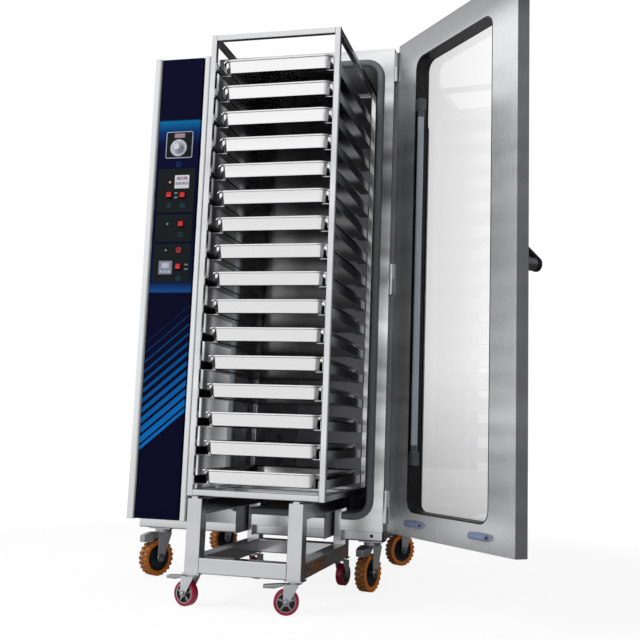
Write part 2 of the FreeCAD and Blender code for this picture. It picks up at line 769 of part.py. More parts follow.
def build_base(caster_plates):
    leg = base_leg
    z0 = trolley_caster_h
    z1 = base_top
    bars = []
    for x in leg_starts:
        for y in (base_y0, base_y1 - leg):
            post = round_bar(x, x + leg, y, y + leg, z0, z1, "Z", base_edge_r)
            w = base_wall
            bars.append(post.cut(round_bar(x + w, x + leg - w, y + w, y + leg - w, z0, z1 - w, "Z",
                                           base_edge_r - w)))
        for low, high in ((z0, z0 + leg), (z1 - leg, z1)):
            bars.append(tube(x, x + leg, base_y0 + leg, base_y1 - leg, low, high, "Y", base_wall,
                             base_edge_r))
        middle = x + leg / 2
        bars.append(block(middle - strip_w / 2, middle + strip_w / 2, base_y0, base_y1, z1, rail_z))
    for y in (base_y0, base_y1 - leg):
        bars.append(tube(base_x0 + leg, base_x1 - leg, y, y + leg, z0, z0 + leg, "X", base_wall,
                         base_edge_r))
    save("trolley_base", *bars, *caster_plates)


def build_cage():
    """Tube frame with L runners, whose shelves start behind the trays' front corners."""
    t = rack_tube
    w = rack_wall
    r = rack_edge_r
    x0 = rack_x - rack_w / 2
    x1 = rack_x + rack_w / 2
    bars = []
    for x in (x0, x1 - t):
        for y in (rack_y0, rack_y1 - t):
            bars.append(tube(x, x + t, y, y + t, rack_z0, rack_z1, "Z", w, r))
        for z in (rack_z0, rack_z1 - t):
            bars.append(tube(x, x + t, rack_y0 + t, rack_y1 - t, z, z + t, "Y", w, r))
    for y in (rack_y0, rack_y1 - t):
        bars.append(tube(x0 + t, x1 - t, y, y + t, rack_z1 - t, rack_z1, "X", w, r))
    step = (rack_d - t) / (rack_cross_count - 1)
    for i in range(rack_cross_count):
        y = rack_y0 + i * step
        bars.append(tube(x0 + t, x1 - t, y, y + t, rack_z0, rack_z0 + t, "X", w, r))
    shelf_y = tray_y0 + tray_rim + tray_draft + runner_lead
    for rim in tray_rims:
        top = rim - tray_h - slide_gap
        low = top - runner_t
        for side in (-1, 1):
            a = rack_x + side * rack_inner
            b = a - side * runner_t
            c = a - side * runner_w
            outline = [V(x, shelf_y, z) for x, z in (
                (a, low), (c, low), (c, top), (b, top), (b, low + runner_h), (a, low + runner_h))]
            runner = prism(outline, V(0, rack_y1 - shelf_y, 0))
            runner = runner.fuse(block(min(a, b), max(a, b), rack_y0, shelf_y, low, low + runner_h))
            bars.append(runner.removeSplitter())
    save("rack_cage", *bars)


def build_trays():
    """Deep tray with drafted sides, rounded corners and a turned-over rim."""
    cx = rack_x
    cy = tray_y0 + tray_d / 2

    def outline(inset, z):
        w = tray_w / 2 - inset
        d = tray_d / 2 - inset
        return rounded_wire(cx - w, cx + w, cy - d, cy + d, tray_corner_r - inset, lambda u, v: V(u, v, z))

    for i, rim in enumerate(tray_rims):
        low = rim - tray_h
        outer = Part.makeLoft([outline(tray_rim + tray_draft, low), outline(tray_rim, rim)], True, True)
        inset = tray_wall
        inner = Part.makeLoft([outline(tray_rim + tray_draft + inset, low + tray_wall),
                               outline(tray_rim + inset, rim)], True, True)
        bead = Part.Face(outline(0, rim - tray_rim_h)).extrude(V(0, 0, tray_rim_h))
        tray = outer.fuse(bead).cut(inner)
        save(f"tray_{i + 1:02d}", tray)


# Door

def build_door_frame():
    s = door_skin
    window = front_slab(window_x0, window_x1, window_z0, window_z1, window_r, door_out, door_in)
    pan = block(door_x0, door_x1, door_out, door_in - s, door_z0, door_z1).cut(window)
    hollow = block(door_x0 + s, door_x1 - s, door_out + s, door_in, door_z0 + s, door_z1 - s)
    collar = front_slab(window_x0 - s, window_x1 + s, window_z0 - s, window_z1 + s, window_r + s,
                        door_out, door_in)
    pan = pan.cut(hollow.cut(collar))
    cover = block(door_x0, door_x1, door_in - s, door_in, door_z0, door_z1).cut(window)
    spot = V(door_x0 + handle_from_free, door_out, handle_z)
    spindle_end = handle_boss_h + slide_gap + handle_t
    boss = rod(spot, V(0, -1, 0), handle_plate_t, handle_plate_r)
    boss = boss.fuse(rod(spot, V(0, -1, 0), handle_boss_h, handle_boss_r))
    boss = boss.fuse(rod(spot, V(0, -1, 0), spindle_end, handle_spindle_r))
    pieces = [pan, cover, boss]
    for z in hinge_levels:
        barrel = rod(V(hinge_axis.x, hinge_axis.y, z + slide_gap), V(0, 0, 1), hinge_h / 2, hinge_barrel_r)
        leaf = block(door_x1, door_x1 + hinge_leaf_t, door_in - hinge_leaf_w, hinge_axis.y,
                     z + slide_gap, z + hinge_h / 2)
        bore = rod(V(hinge_axis.x, hinge_axis.y, z), V(0, 0, 1), hinge_h, hinge_pin_r + shaft_fit)
        pieces.append(barrel.fuse(leaf).cut(bore))
    save("door_frame", *[swung(p) for p in pieces])


def build_hinge_leaves():
    pieces = []
    for z in hinge_levels:
        low = z - hinge_h / 2
        barrel = rod(V(hinge_axis.x, hinge_axis.y, low), V(0, 0, 1), hinge_h / 2, hinge_barrel_r)
        pin = rod(V(hinge_axis.x, hinge_axis.y, low), V(0, 0, 1), hinge_h - slide_gap, hinge_pin_r)
        leaf = block(half_w, half_w + hinge_leaf_t, hinge_axis.y, hinge_leaf_w, low, z)
        pieces.append(barrel.fuse(leaf).fuse(pin))
    save("hinge_leaves", *pieces)


def window_slab(grow, y0, y1):
    """The window's rounded shape, made larger on every side by grow."""
    return front_slab(window_x0 - grow, window_x1 + grow, window_z0 - grow, window_z1 + grow, window_r + grow,
                      y0, y1)


def build_window():
    """Black lining of the deep window, the pane behind it and the bead that holds the pane."""
    pane_in = door_in - reveal_depth
    pane_out = pane_in - glass_t
    end = door_in - bead_out
    lining = window_slab(0, pane_in, door_in).cut(window_slab(-reveal_wall, pane_in, door_in))
    pane = window_slab(glass_lap, pane_out, pane_in)
    bead = window_slab(bead_w, end, door_out).cut(window_slab(0, pane_in, door_out))
    bead = bead.cut(pane).cut(window_slab(-reveal_wall, end, pane_out))
    save("window_seal", swung(lining), swung(bead))
    save("door_glass", swung(pane))


def build_door_lamp():
    """Tube lamp in two sockets on the hinge side of the window's lining."""
    wall = window_x1 - reveal_wall
    x = wall - socket_w / 2
    y = door_in - lamp_depth
    pieces = [rod(V(x, y, lamp_z0), V(0, 0, 1), lamp_z1 - lamp_z0, lamp_r)]
    for z in (lamp_z0 - socket_h, lamp_z1):
        pieces.append(block(wall - socket_w, wall, y - socket_w / 2, y + socket_w / 2, z, z + socket_h))
    save("door_lamp", *[swung(p) for p in pieces])


def build_plugs():
    """Soft hollow plugs on the door, in front of the two notches of the gasket."""
    plugs = []
    for place in plug_places:
        start = V(door_x1 - place - plug_len / 2, door_in + plug_out, plug_z)
        plug = rod(start, V(1, 0, 0), plug_len, plug_r).cut(rod(start, V(1, 0, 0), plug_len, plug_bore_r))
        inside = block(start.x, start.x + plug_len, door_in - plug_r, door_in, plug_z - plug_r,
                       plug_z + plug_r)
        plugs.append(plug.cut(inside))
    save("seal_plugs", *[swung(p) for p in plugs])


def tapered_arm(hub_r, tip_r, length, thick):
    """Flat arm standing up from its hub, its two round ends joined by straight tangents."""
    slope = (hub_r - tip_r) / length
    side = math.sqrt(1 - slope * slope)
    low = V(hub_r * side, 0, hub_r * slope)
    high = V(tip_r * side, 0, length + tip_r * slope)
    left_low = V(-low.x, 0, low.z)
    left_high = V(-high.x, 0, high.z)
    outline = Part.Wire([
        Part.Arc(left_low, V(0, 0, -hub_r), low).toShape(),
        Part.makeLine(low, high),
        Part.Arc(high, V(0, 0, length + tip_r), left_high).toShape(),
        Part.makeLine(left_high, left_low),
    ])
    return Part.Face(outline).extrude(V(0, -thick, 0))


def build_handle():
    """Lever on the end of the boss, in a plane parallel to the door."""
    lever = tapered_arm(handle_hub_r, handle_tip_r, handle_len, handle_t)
    lever = lever.cut(rod(V(0, 0, 0), V(0, -1, 0), handle_t, handle_spindle_r + shaft_fit))
    lever.rotate(V(0, 0, 0), V(0, 1, 0), handle_rest_angle)
    lever.translate(V(door_x0 + handle_from_free, door_out - handle_boss_h - slide_gap, handle_z))
    save("handle_lever", swung(lever))


def main():
    os.makedirs("parts", exist_ok=True)
    oven_wheel = caster_wheel(oven_caster)
    oven_wheel = oven_wheel.cut(lug_grooves(oven_caster))
    build_plinth(build_casters("oven", oven_caster, oven_spots, oven_swivel, oven_wheel))
    build_casing()
    build_fascia()
    build_gasket()
    build_liner()
    build_rails()
    build_trims()
    build_panel()
    build_modules()
    build_knob()
    build_rockers()
    build_baffle()
    build_fans()
    build_motors()
    build_heaters()
    trolley_wheel = caster_wheel(trolley_caster)
    build_base(build_casters("trolley", trolley_caster, trolley_spots, trolley_swivel, trolley_wheel))
    build_cage()
    build_trays()
    build_door_frame()
    build_hinge_leaves()
    build_window()
    build_door_lamp()
    build_plugs()
    build_handle()


main()
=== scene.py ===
# %% [markdown]
# # Dressing a roll-in rack oven
# A steel shop has drawn this oven as solids: casing, door, trolley, rack, trays and casters, each riding on its
# own joint. Here the solids get their finishes, the small pieces that no steel shop draws are modelled, and the
# camera goes where the photographer stood.

# %% Load the solids
import json
import math

import bmesh
import bpy
from mathutils import Matrix, Vector


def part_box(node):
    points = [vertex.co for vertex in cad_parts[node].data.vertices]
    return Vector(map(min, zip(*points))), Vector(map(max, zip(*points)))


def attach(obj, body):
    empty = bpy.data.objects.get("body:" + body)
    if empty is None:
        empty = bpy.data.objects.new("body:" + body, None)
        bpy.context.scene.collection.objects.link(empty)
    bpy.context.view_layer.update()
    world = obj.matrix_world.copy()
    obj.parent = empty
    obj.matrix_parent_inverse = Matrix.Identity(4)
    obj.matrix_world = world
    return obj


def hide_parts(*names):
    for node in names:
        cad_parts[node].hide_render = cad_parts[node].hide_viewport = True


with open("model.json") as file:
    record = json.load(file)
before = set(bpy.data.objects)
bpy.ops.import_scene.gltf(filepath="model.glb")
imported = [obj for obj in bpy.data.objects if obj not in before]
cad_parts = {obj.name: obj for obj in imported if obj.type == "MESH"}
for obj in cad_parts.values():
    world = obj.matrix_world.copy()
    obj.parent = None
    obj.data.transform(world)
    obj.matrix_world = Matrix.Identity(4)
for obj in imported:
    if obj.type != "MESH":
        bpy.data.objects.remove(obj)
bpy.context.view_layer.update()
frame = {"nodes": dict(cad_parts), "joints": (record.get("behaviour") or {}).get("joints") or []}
nodes = frame["nodes"]
joints = {j["name"]: j for j in frame["joints"]}
scene = bpy.context.scene

# %% [markdown]
# ## The camera
# The photograph is taken from knee height, to the right of the oven and a little tilted, which makes the tall
# body lean. A camera could be aimed with a constraint, but three angles and a lens length keep the tilt exact.

# %% Place the camera
cam_spot = Vector((1.1202, -3.9498, 0.5624))
cam_yaw, cam_pitch, cam_roll = (math.radians(a) for a in (14.33, 8.60, 2.08))
cam_lens, cam_shift = 53.62, (-0.00395, -0.0484)

forward = Vector((-math.sin(cam_yaw) * math.cos(cam_pitch), math.cos(cam_yaw) * math.cos(cam_pitch),
                  math.sin(cam_pitch)))
level = Vector((math.cos(cam_yaw), math.sin(cam_yaw), 0))
upward = level.cross(forward)
right = math.cos(cam_roll) * level + math.sin(cam_roll) * upward
up = math.cos(cam_roll) * upward - math.sin(cam_roll) * level
camera = bpy.data.objects.new("camera", bpy.data.cameras.new("camera"))
camera.data.lens = cam_lens
camera.data.shift_x, camera.data.shift_y = cam_shift
camera.data.clip_end = 60
camera.matrix_world = Matrix.Translation(cam_spot) @ Matrix((right, up, -forward)).transposed().to_4x4()
scene.collection.objects.link(camera)
scene.camera = camera
scene.view_settings.view_transform = "Standard"
print("camera looks along", [round(c, 3) for c in forward])

# %% [markdown]
# ## Node helpers
# The sky, the floor and every finish are small networks of nodes. Each node could be made, set and linked in lines
# of its own, but helpers that do all three at once let a network read from its start to its end.

# %% Helpers for nodes
def feed(node, inputs):
    """Fill inputs of a node, each with a plain value, another node's first output or one chosen output."""
    for socket, source in inputs.items():
        if isinstance(source, bpy.types.Node):
            source = source.outputs[0]
        if isinstance(source, bpy.types.NodeSocket):
            node.id_data.links.new(source, node.inputs[socket])
        else:
            node.inputs[socket].default_value = source
    return node


def add(tree, kind, inputs=None, **settings):
    """New node in a tree, with its settings and its inputs filled."""
    node = tree.nodes.new("ShaderNode" + kind)
    for key, setting in settings.items():
        setattr(node, key, setting)
    return feed(node, inputs or {})


def calc(tree, operation, *inputs, **settings):
    """Math node on numbers and nodes."""
    return add(tree, "Math", dict(enumerate(inputs)), operation=operation, **settings)


def span(tree, value, low, high, start=0.0, end=1.0):
    """Value carried from one range to another."""
    return add(tree, "MapRange", {"Value": value, "From Min": low, "From Max": high, "To Min": start, "To Max": end})


def ramp(tree, value, stops):
    """Colours over a value; stops are (position, colour), the first at 0 and the last at 1."""
    node = add(tree, "ValToRGB", {"Fac": value})
    elements = node.color_ramp.elements
    for position, _ in stops[1:-1]:
        elements.new(position)
    for element, (_, color) in zip(elements, stops):
        element.color = color
    return node


print("node helpers ready")

# %% [markdown]
# ## The studio
# Polished steel shows whatever stands round it, so the room matters more than the lamps. The camera and the
# glass see a white room. Reflections see a room whose grey follows the compass: pale in front of the oven and on
# its left, dark on its right and behind it, which draws every edge. Light that falls on matt pieces is a soft grey.

# %% Room
world = bpy.data.worlds.new("studio")
scene.world = world
world.use_nodes = True
tree = world.node_tree
tree.nodes.clear()
white = (1, 1, 1, 1)
front_grey = (0.98, 0.98, 0.99, 1)
room_greys = ((-150, 1.0), (-30, 1.0), (-12, 0.60), (0, 0.10), (15, 0.03), (40, 0.05), (70, 0.20), (95, 0.16),
              (120, 0.13), (153, 0.56))

path = add(tree, "LightPath").outputs
way = add(tree, "SeparateXYZ", {0: add(tree, "TexCoord").outputs["Generated"]}).outputs
turn = span(tree, calc(tree, "ARCTAN2", way["X"], way["Y"]), -math.pi, math.pi)
inner = [((degrees + 180) / 360, (grey, grey, 1.01 * grey, 1)) for degrees, grey in room_greys]
room = ramp(tree, turn, [(0, front_grey), *inner, (1, front_grey)])
soft_sky = add(tree, "Background", {"Color": (0.95, 0.97, 1.0, 1), "Strength": 0.30})
white_sky = add(tree, "Background", {"Color": white, "Strength": 1.0})
mirrored_sky = add(tree, "Background", {"Color": room, "Strength": 1.0})
seen = calc(tree, "MAXIMUM", path["Is Camera Ray"], path["Is Transmission Ray"])
soft_or_mirrored = add(tree, "MixShader", {"Fac": path["Is Glossy Ray"], 1: soft_sky, 2: mirrored_sky})
sky = add(tree, "MixShader", {"Fac": seen, 1: soft_or_mirrored, 2: white_sky})
add(tree, "OutputWorld", {"Surface": sky})
print("greys round the compass:", len(room_greys))

# %% [markdown]
# ## Lamps
# Two square soft boxes light the matt pieces and throw the shadow: a key from the front left, high up, and a weak
# fill from the right. In the steel they would show as bright squares, so reflections leave them out.

# %% Lamps
def lamp(name, spot, target, size, watts):
    """Square area lamp aimed at a point."""
    data = bpy.data.lights.new(name, "AREA")
    data.size = size
    data.energy = watts
    obj = bpy.data.objects.new(name, data)
    aim = (Vector(target) - Vector(spot)).to_track_quat("-Z", "Y")
    obj.matrix_world = Matrix.Translation(spot) @ aim.to_matrix().to_4x4()
    obj.visible_glossy = False
    scene.collection.objects.link(obj)
    return obj


lamps = [lamp("key_lamp", (-3.2, -4.2, 4.2), (0, -0.2, 1.0), 3.0, 170),
         lamp("fill_lamp", (4.0, -3.0, 3.0), (0.2, -0.4, 1.0), 2.6, 30)]
print("lamps in watts:", {o.name: o.data.energy for o in lamps})

# %% [markdown]
# ## Materials and groups
# Every finish is a Principled shader fed by a few pattern nodes. The patterns read Object coordinates, so they
# stay on a piece when its joint moves. A pattern that several finishes share is a node group, built once, and each
# group gives a colour, a roughness and a height for the bump.

# %% Helpers for materials
def new_material(name, color, rough, metallic=0.0):
    """Material whose plain values sit on the shader's own sockets."""
    mat = bpy.data.materials.new(name)
    mat.use_nodes = True
    feed(mat.node_tree.nodes["Principled BSDF"], {"Base Color": (*color, 1), "Roughness": rough,
                                                  "Metallic": metallic})
    mat.diffuse_color = (*color, 1)
    return mat


def skin_group(name, inputs):
    """Empty node group; each input is (name, socket type, default)."""
    group = bpy.data.node_groups.new(name, "ShaderNodeTree")
    for label, kind, default in inputs:
        socket = group.interface.new_socket(label, in_out="INPUT", socket_type="NodeSocket" + kind)
        socket.default_value = default
    for label, kind in (("Color", "Color"), ("Roughness", "Float"), ("Height", "Float")):
        group.interface.new_socket(label, in_out="OUTPUT", socket_type="NodeSocket" + kind)
    return group, group.nodes.new("NodeGroupInput").outputs, group.nodes.new("NodeGroupOutput")


def dressed(mat, group, inputs, bump, depth):
    """Put a group's roughness and bump on a material; returns the group's colour."""
    skin = add(mat.node_tree, "Group", inputs, node_tree=group).outputs
    bumps = add(mat.node_tree, "Bump", {"Strength": bump, "Distance": depth, "Height": skin["Height"]})
    feed(mat.node_tree.nodes["Principled BSDF"], {"Roughness": skin["Roughness"], "Normal": bumps})
    return skin["Color"]


print("material helpers ready")

# %% [markdown]
# ## Brushed grain
# Stainless sheet is ground with a belt, which leaves hair-fine scratches all in one direction. Noise that is
# squeezed across the grain and stretched along it gives the same look from near and far. A second, broad noise
# adds the clouds of oil and handling that every kitchen steel has, and a third adds painted reflection: level
# bands of lighter and darker, as a sheet that is never quite flat reflects the room.

# %% Node group for brushed steel
brushed, g_in, g_out = skin_group(
    "Brushed grain",
    [("Color", "Color", (0.7, 0.7, 0.7, 1)), ("Grain", "Vector", (500, 500, 6)), ("Contrast", "Float", 0.12),
     ("Rough", "Float", 0.25), ("Cloud scale", "Float", 2.2), ("Bands", "Float", 0.0)])
band_squeeze, darkest, rough_change = (0.7, 0.7, 9.0), 0.15, 0.06
place = add(brushed, "TexCoord").outputs["Object"]
squeezed = add(brushed, "VectorMath", {0: place, 1: g_in["Grain"]}, operation="MULTIPLY")
flattened = add(brushed, "VectorMath", {0: place, 1: band_squeeze}, operation="MULTIPLY")
hair = add(brushed, "TexNoise", {"Vector": squeezed, "Scale": 1.0, "Detail": 3.0})
cloud = add(brushed, "TexNoise", {"Vector": place, "Scale": g_in["Cloud scale"], "Detail": 2.0})
# Painted reflection: level bands of lighter and darker steel, as a sheet that is never quite flat reflects the room.
band = add(brushed, "TexNoise", {"Vector": flattened, "Scale": 1.0, "Detail": 1.5})
hair_part, cloud_part, band_part = [calc(brushed, "SUBTRACT", noise, 0.5) for noise in (hair, cloud, band)]
both = calc(brushed, "ADD", hair_part, cloud_part)
lift = calc(brushed, "ADD", calc(brushed, "MULTIPLY", both, g_in["Contrast"]), 1.0)
banded = calc(brushed, "MULTIPLY_ADD", band_part, g_in["Bands"], lift)
grey = calc(brushed, "MAXIMUM", banded, darkest)
shade = add(brushed, "VectorMath", {0: g_in["Color"], "Scale": grey}, operation="SCALE")
rough_part = calc(brushed, "MULTIPLY_ADD", both, rough_change, g_in["Rough"])
feed(g_out, {"Color": shade, "Roughness": rough_part, "Height": hair})
print("nodes in the brushed grain:", len(brushed.nodes))

# %% [markdown]
# ## Steel
# A steel is the brushed grain on a metal shader. Some steels also carry broad ramps of painted reflection and
# painted shade; these could be painted as a picture, but a ramp along a direction of the piece is exact and rides
# with it. Steel that is seen in other steel is dimmed, a painted shade which keeps the gaps of the rack dark.

# %% Steel with painted light ramps
# Painted shade: steel seen in other steel has its colour darkened by this share.
steel_dimming = 0.55


def mirror_rays(tree):
    """1 for a reflection's ray that came through no glass, else 0."""
    path = add(tree, "LightPath").outputs
    return calc(tree, "SUBTRACT", path["Is Glossy Ray"], path["Is Transmission Ray"], use_clamp=True)


def distance_along(tree, way):
    """How far a point lies along a direction of the piece."""
    spot = add(tree, "TexCoord").outputs["Object"]
    return add(tree, "VectorMath", {0: spot, 1: way}, operation="DOT_PRODUCT").outputs["Value"]


def painted_light_ramp(tree, grey, way, greys):
    """Grey times a ramp of painted light along a direction; greys holds (distance, grey) stops."""
    low, high = greys[0][0], greys[-1][0]
    stops = [((distance - low) / (high - low), (g, g, g, 1)) for distance, g in greys]
    return calc(tree, "MULTIPLY", ramp(tree, span(tree, distance_along(tree, way), low, high), stops), grey)


def steel(name, color, rough, grain=(500, 500, 6), contrast=0.12, clouds=2.2, bump=0.05, bands=0.0, metallic=1.0,
          painted_ramps=()):
    """Bare metal with a belt-ground grain, dimmed as painted shade where it is seen in steel, and ramps of painted
    light.
    """
    mat = new_material(name, color, rough, metallic)
    tree = mat.node_tree
    skin_color = dressed(mat, brushed, {"Color": (*color, 1), "Grain": grain, "Contrast": contrast, "Rough": rough,
                                        "Cloud scale": clouds, "Bands": bands}, bump, 0.0004)
    grey = calc(tree, "MULTIPLY_ADD", mirror_rays(tree), -steel_dimming, 1.0)
    for way, greys in painted_ramps:
        grey = painted_light_ramp(tree, grey, way, greys)
    shown = add(tree, "VectorMath", {0: skin_color, "Scale": grey}, operation="SCALE")
    feed(tree.nodes["Principled BSDF"], {"Base Color": shown})
    return mat


print("steel in steel is dimmed to", round(1 - steel_dimming, 2))

# %% [markdown]
# ## The steels of the oven
# Sheet, fascia, casing, door, tubes and chamber are all stainless, but ground differently and lit by different
# parts of the room. The fascia carries a painted dark reflection of the rack beside the opening and painted
# reflection in level bands. The door carries painted shade towards its top and a painted dark line of shade along
# its free edge, so that edge is found from the solid itself.

# %% Steels
door_open = math.radians(131)
door_way = Vector((-math.cos(door_open), -math.sin(door_open), 0.0))
door_end = max(v.co @ door_way for v in nodes["door_frame"].data.vertices)
# Painted reflection on the fascia: the rack's dark reflection beside the opening, and level bands.
painted_rack_reflection = ((1, 0, 0), ((-0.30, 1.0), (-0.226, 1.0), (-0.220, 0.07), (-0.207, 0.09), (-0.192, 0.38),
                              (-0.170, 0.20), (-0.150, 0.28), (0.0, 1.0)))
painted_reflection_bands = ((0, 0, 1), ((1.07, 1.0), (1.13, 0.40), (1.20, 0.85), (1.30, 0.42), (1.79, 0.40), (1.84, 1.0)))
# Painted shade on the door: darker towards its top, and a dark line along its free edge.
painted_shade_at_door_top = ((0, 0, 1), ((1.70, 1.0), (1.88, 0.85), (1.96, 0.50), (2.04, 0.36)))
painted_shade_at_door_edge = (tuple(door_way), ((door_end - 0.0012, 1.0), (door_end - 0.0006, 0.58)))

sheet_steel = steel("sheet_steel", (0.66, 0.67, 0.68), 0.20, contrast=0.06, bump=0.02, bands=3.0)
fascia_steel = steel("fascia_steel", (0.66, 0.67, 0.68), 0.20, contrast=0.06, bump=0.02, bands=3.0,
                     painted_ramps=[painted_rack_reflection, painted_reflection_bands])
casing_steel = steel("casing_steel", (0.72, 0.73, 0.74), 0.28, contrast=0.06, bump=0.02, bands=1.0, metallic=0.7)
door_steel = steel("door_steel", (0.84, 0.85, 0.86), 0.26, contrast=0.05, bump=0.01, bands=0.8, metallic=0.75,
                   painted_ramps=[painted_shade_at_door_top, painted_shade_at_door_edge])
tube_steel = steel("tube_steel", (0.72, 0.73, 0.74), 0.16, (120, 120, 120), contrast=0.03, bump=0.01, bands=0.5)
liner_steel = steel("liner_steel", (0.66, 0.67, 0.69), 0.30, (6, 6, 400), contrast=0.10, metallic=0.6)
tray_metal = steel("tray_metal", (0.94, 0.94, 0.94), 0.18, (12, 160, 160), contrast=0.025, bump=0.0)
trim_metal = steel("trim_metal", (0.78, 0.79, 0.80), 0.20, (700, 700, 3), contrast=0.10)
zinc = steel("zinc", (0.68, 0.70, 0.72), 0.34, (60, 60, 60), contrast=0.25, clouds=40, metallic=0.65)
bolt_steel = steel("bolt_steel", (0.50, 0.51, 0.53), 0.30, (200, 200, 200), contrast=0.10)
heater_sheath = steel("heater_sheath", (0.30, 0.27, 0.25), 0.45, (90, 90, 90), contrast=0.3)
print("door's free edge lies at", round(door_end, 4), "m along the door")

# %% [markdown]
# ## Moulded skins
# Rubber, silicone and moulded plastic have no grain, but never a perfectly smooth skin either. One group makes
# a fine pebble for the bump and a slow drift for the colour.

# %% Node group for moulded skins
moulded, g_in, g_out = skin_group(
    "Moulded skin",
    [("Color", "Color", (0.1, 0.1, 0.1, 1)), ("Pebble", "Float", 900.0), ("Drift", "Float", 12.0),
     ("Rough", "Float", 0.5)])
place = add(moulded, "TexCoord").outputs["Object"]
pebble = add(moulded, "TexNoise", {"Vector": place, "Scale": g_in["Pebble"], "Detail": 2.0})
drift = add(moulded, "TexNoise", {"Vector": place, "Scale": g_in["Drift"], "Detail": 3.0})
drift_lift = calc(moulded, "MULTIPLY_ADD", drift, 0.30, 0.85)
shade = add(moulded, "VectorMath", {0: g_in["Color"], "Scale": drift_lift}, operation="SCALE")
rough_part = calc(moulded, "MULTIPLY", g_in["Rough"], drift_lift)
feed(g_out, {"Color": shade, "Roughness": rough_part, "Height": pebble})


def plastic(name, color, rough, pebble_scale=900.0, bump=0.12, specular=0.5):
    """Moulded rubber or plastic."""
    mat = new_material(name, color, rough)
    skin_color = dressed(mat, moulded, {"Color": (*color, 1), "Pebble": pebble_scale, "Rough": rough}, bump, 0.0003)
    feed(mat.node_tree.nodes["Principled BSDF"], {"Base Color": skin_color, "Specular IOR Level": specular})
    return mat


gasket_rubber = plastic("gasket_rubber", (0.17, 0.185, 0.20), 0.55)
lining_black = plastic("lining_black", (0.006, 0.007, 0.008), 0.40, specular=0.2)
plug_silicone = plastic("plug_silicone", (0.26, 0.32, 0.49), 0.45)
handle_plastic = plastic("handle_plastic", (0.012, 0.012, 0.014), 0.36)
knob_plastic = plastic("knob_plastic", (0.75, 0.76, 0.78), 0.35)
switch_red = plastic("switch_red", (0.74, 0.008, 0.02), 0.25)
module_black = plastic("module_black", (0.012, 0.016, 0.018), 0.35)
lamp_sleeve = plastic("lamp_sleeve", (0.40, 0.45, 0.50), 0.22)
tyre_orange = plastic("tyre_orange", (0.74, 0.20, 0.012), 0.42)
tread_burgundy = plastic("tread_burgundy", (0.42, 0.012, 0.05), 0.30)
motor_paint = plastic("motor_paint", (0.03, 0.035, 0.045), 0.45)
print("nodes in the moulded skin:", len(moulded.nodes))

# %% [markdown]
# ## Window pane
# The pane is plain clear glass. In the photograph it looks duller towards the hinge and near the sill, so painted
# shade darkens its colour over two ranges, one along X and one over the lowest half metre.

# %% Window glass
# Painted shade on the pane: its colour darkens towards the hinge and over the lowest half metre.
painted_shade_at_hinge, painted_shade_at_sill, painted_shade_height = 0.77, 0.55, 0.5
glass_lo, glass_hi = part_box("door_glass")
window_glass = new_material("window_glass", (1.0, 1.0, 1.0), 0.02)
tree = window_glass.node_tree
spot = add(tree, "SeparateXYZ", {0: add(tree, "TexCoord").outputs["Object"]}).outputs
outwards = span(tree, spot["X"], glass_lo.x, glass_hi.x, painted_shade_at_hinge)
upwards = span(tree, spot["Z"], glass_lo.z, glass_lo.z + painted_shade_height, painted_shade_at_sill)
feed(tree.nodes["Principled BSDF"], {"Base Color": calc(tree, "MULTIPLY", outwards, upwards),
                                     "Transmission Weight": 1.0, "IOR": 1.45})
print("pane from", [round(c, 3) for c in glass_lo], "to", [round(c, 3) for c in glass_hi])

# %% [markdown]
# ## Panel print
# The column's panel is a printed sheet. Its colour only depends on height, so a colour ramp along Z holds the
# two glows above and below the switches, and slanted bars that thin out upwards decorate the lower half. All of
# it is worked out from Object coordinates, without any picture.

# %% Panel print
panel_lo, panel_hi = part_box("control_panel")
navy, bar_blue = (0.0, 0.0, 0.017), (0.004, 0.19, 0.62, 1)
bar_slant, bars_per_metre = 0.85, 26.0
bars_low, bars_high = 0.86, 1.32
bar_broad, bar_thin = 0.78, 0.06
glows = ((panel_lo.z, navy), (1.0865, navy), (1.0870, (0.012, 0.08, 0.30)), (1.125, (0.003, 0.010, 0.055)),
         (1.30, (0.001, 0.002, 0.022)), (1.68, (0.001, 0.002, 0.028)), (1.735, (0.003, 0.035, 0.16)),
         (1.778, (0.006, 0.16, 0.39)), (1.7785, navy), (panel_hi.z, navy))

panel_print = plastic("panel_print", navy, 0.45, pebble_scale=300, bump=0.02, specular=0.08)
tree = panel_print.node_tree
height = span(tree, distance_along(tree, (0, 0, 1)), panel_lo.z, panel_hi.z)
glow = ramp(tree, height, [((z - panel_lo.z) / (panel_hi.z - panel_lo.z), (*color, 1)) for z, color in glows])
slant = distance_along(tree, (-bar_slant, 0, 1))
climb = span(tree, slant, bars_low, bars_high)
step = calc(tree, "FRACT", calc(tree, "MULTIPLY", slant, bars_per_metre))
bar = calc(tree, "LESS_THAN", step, span(tree, climb, 0, 1, bar_broad, bar_thin))
drawn = calc(tree, "MULTIPLY", bar, calc(tree, "GREATER_THAN", climb, 0.001))
faded = calc(tree, "MULTIPLY", drawn, calc(tree, "SUBTRACT", 1.0, climb, use_clamp=True))
ink = add(tree, "Mix", {"Factor": faded, "A": glow, "B": bar_blue}, data_type="RGBA")
feed(tree.nodes["Principled BSDF"], {"Base Color": ink.outputs["Result"]})
print("panel print from", round(panel_lo.z, 3), "to", round(panel_hi.z, 3))

# %% [markdown]
# ## Finishes on the solids
# Each solid takes one finish. A material could be looked up by name, but the loaded solids bring plain materials
# of their own, some with the same names, so the finishes are handed over as they were made.

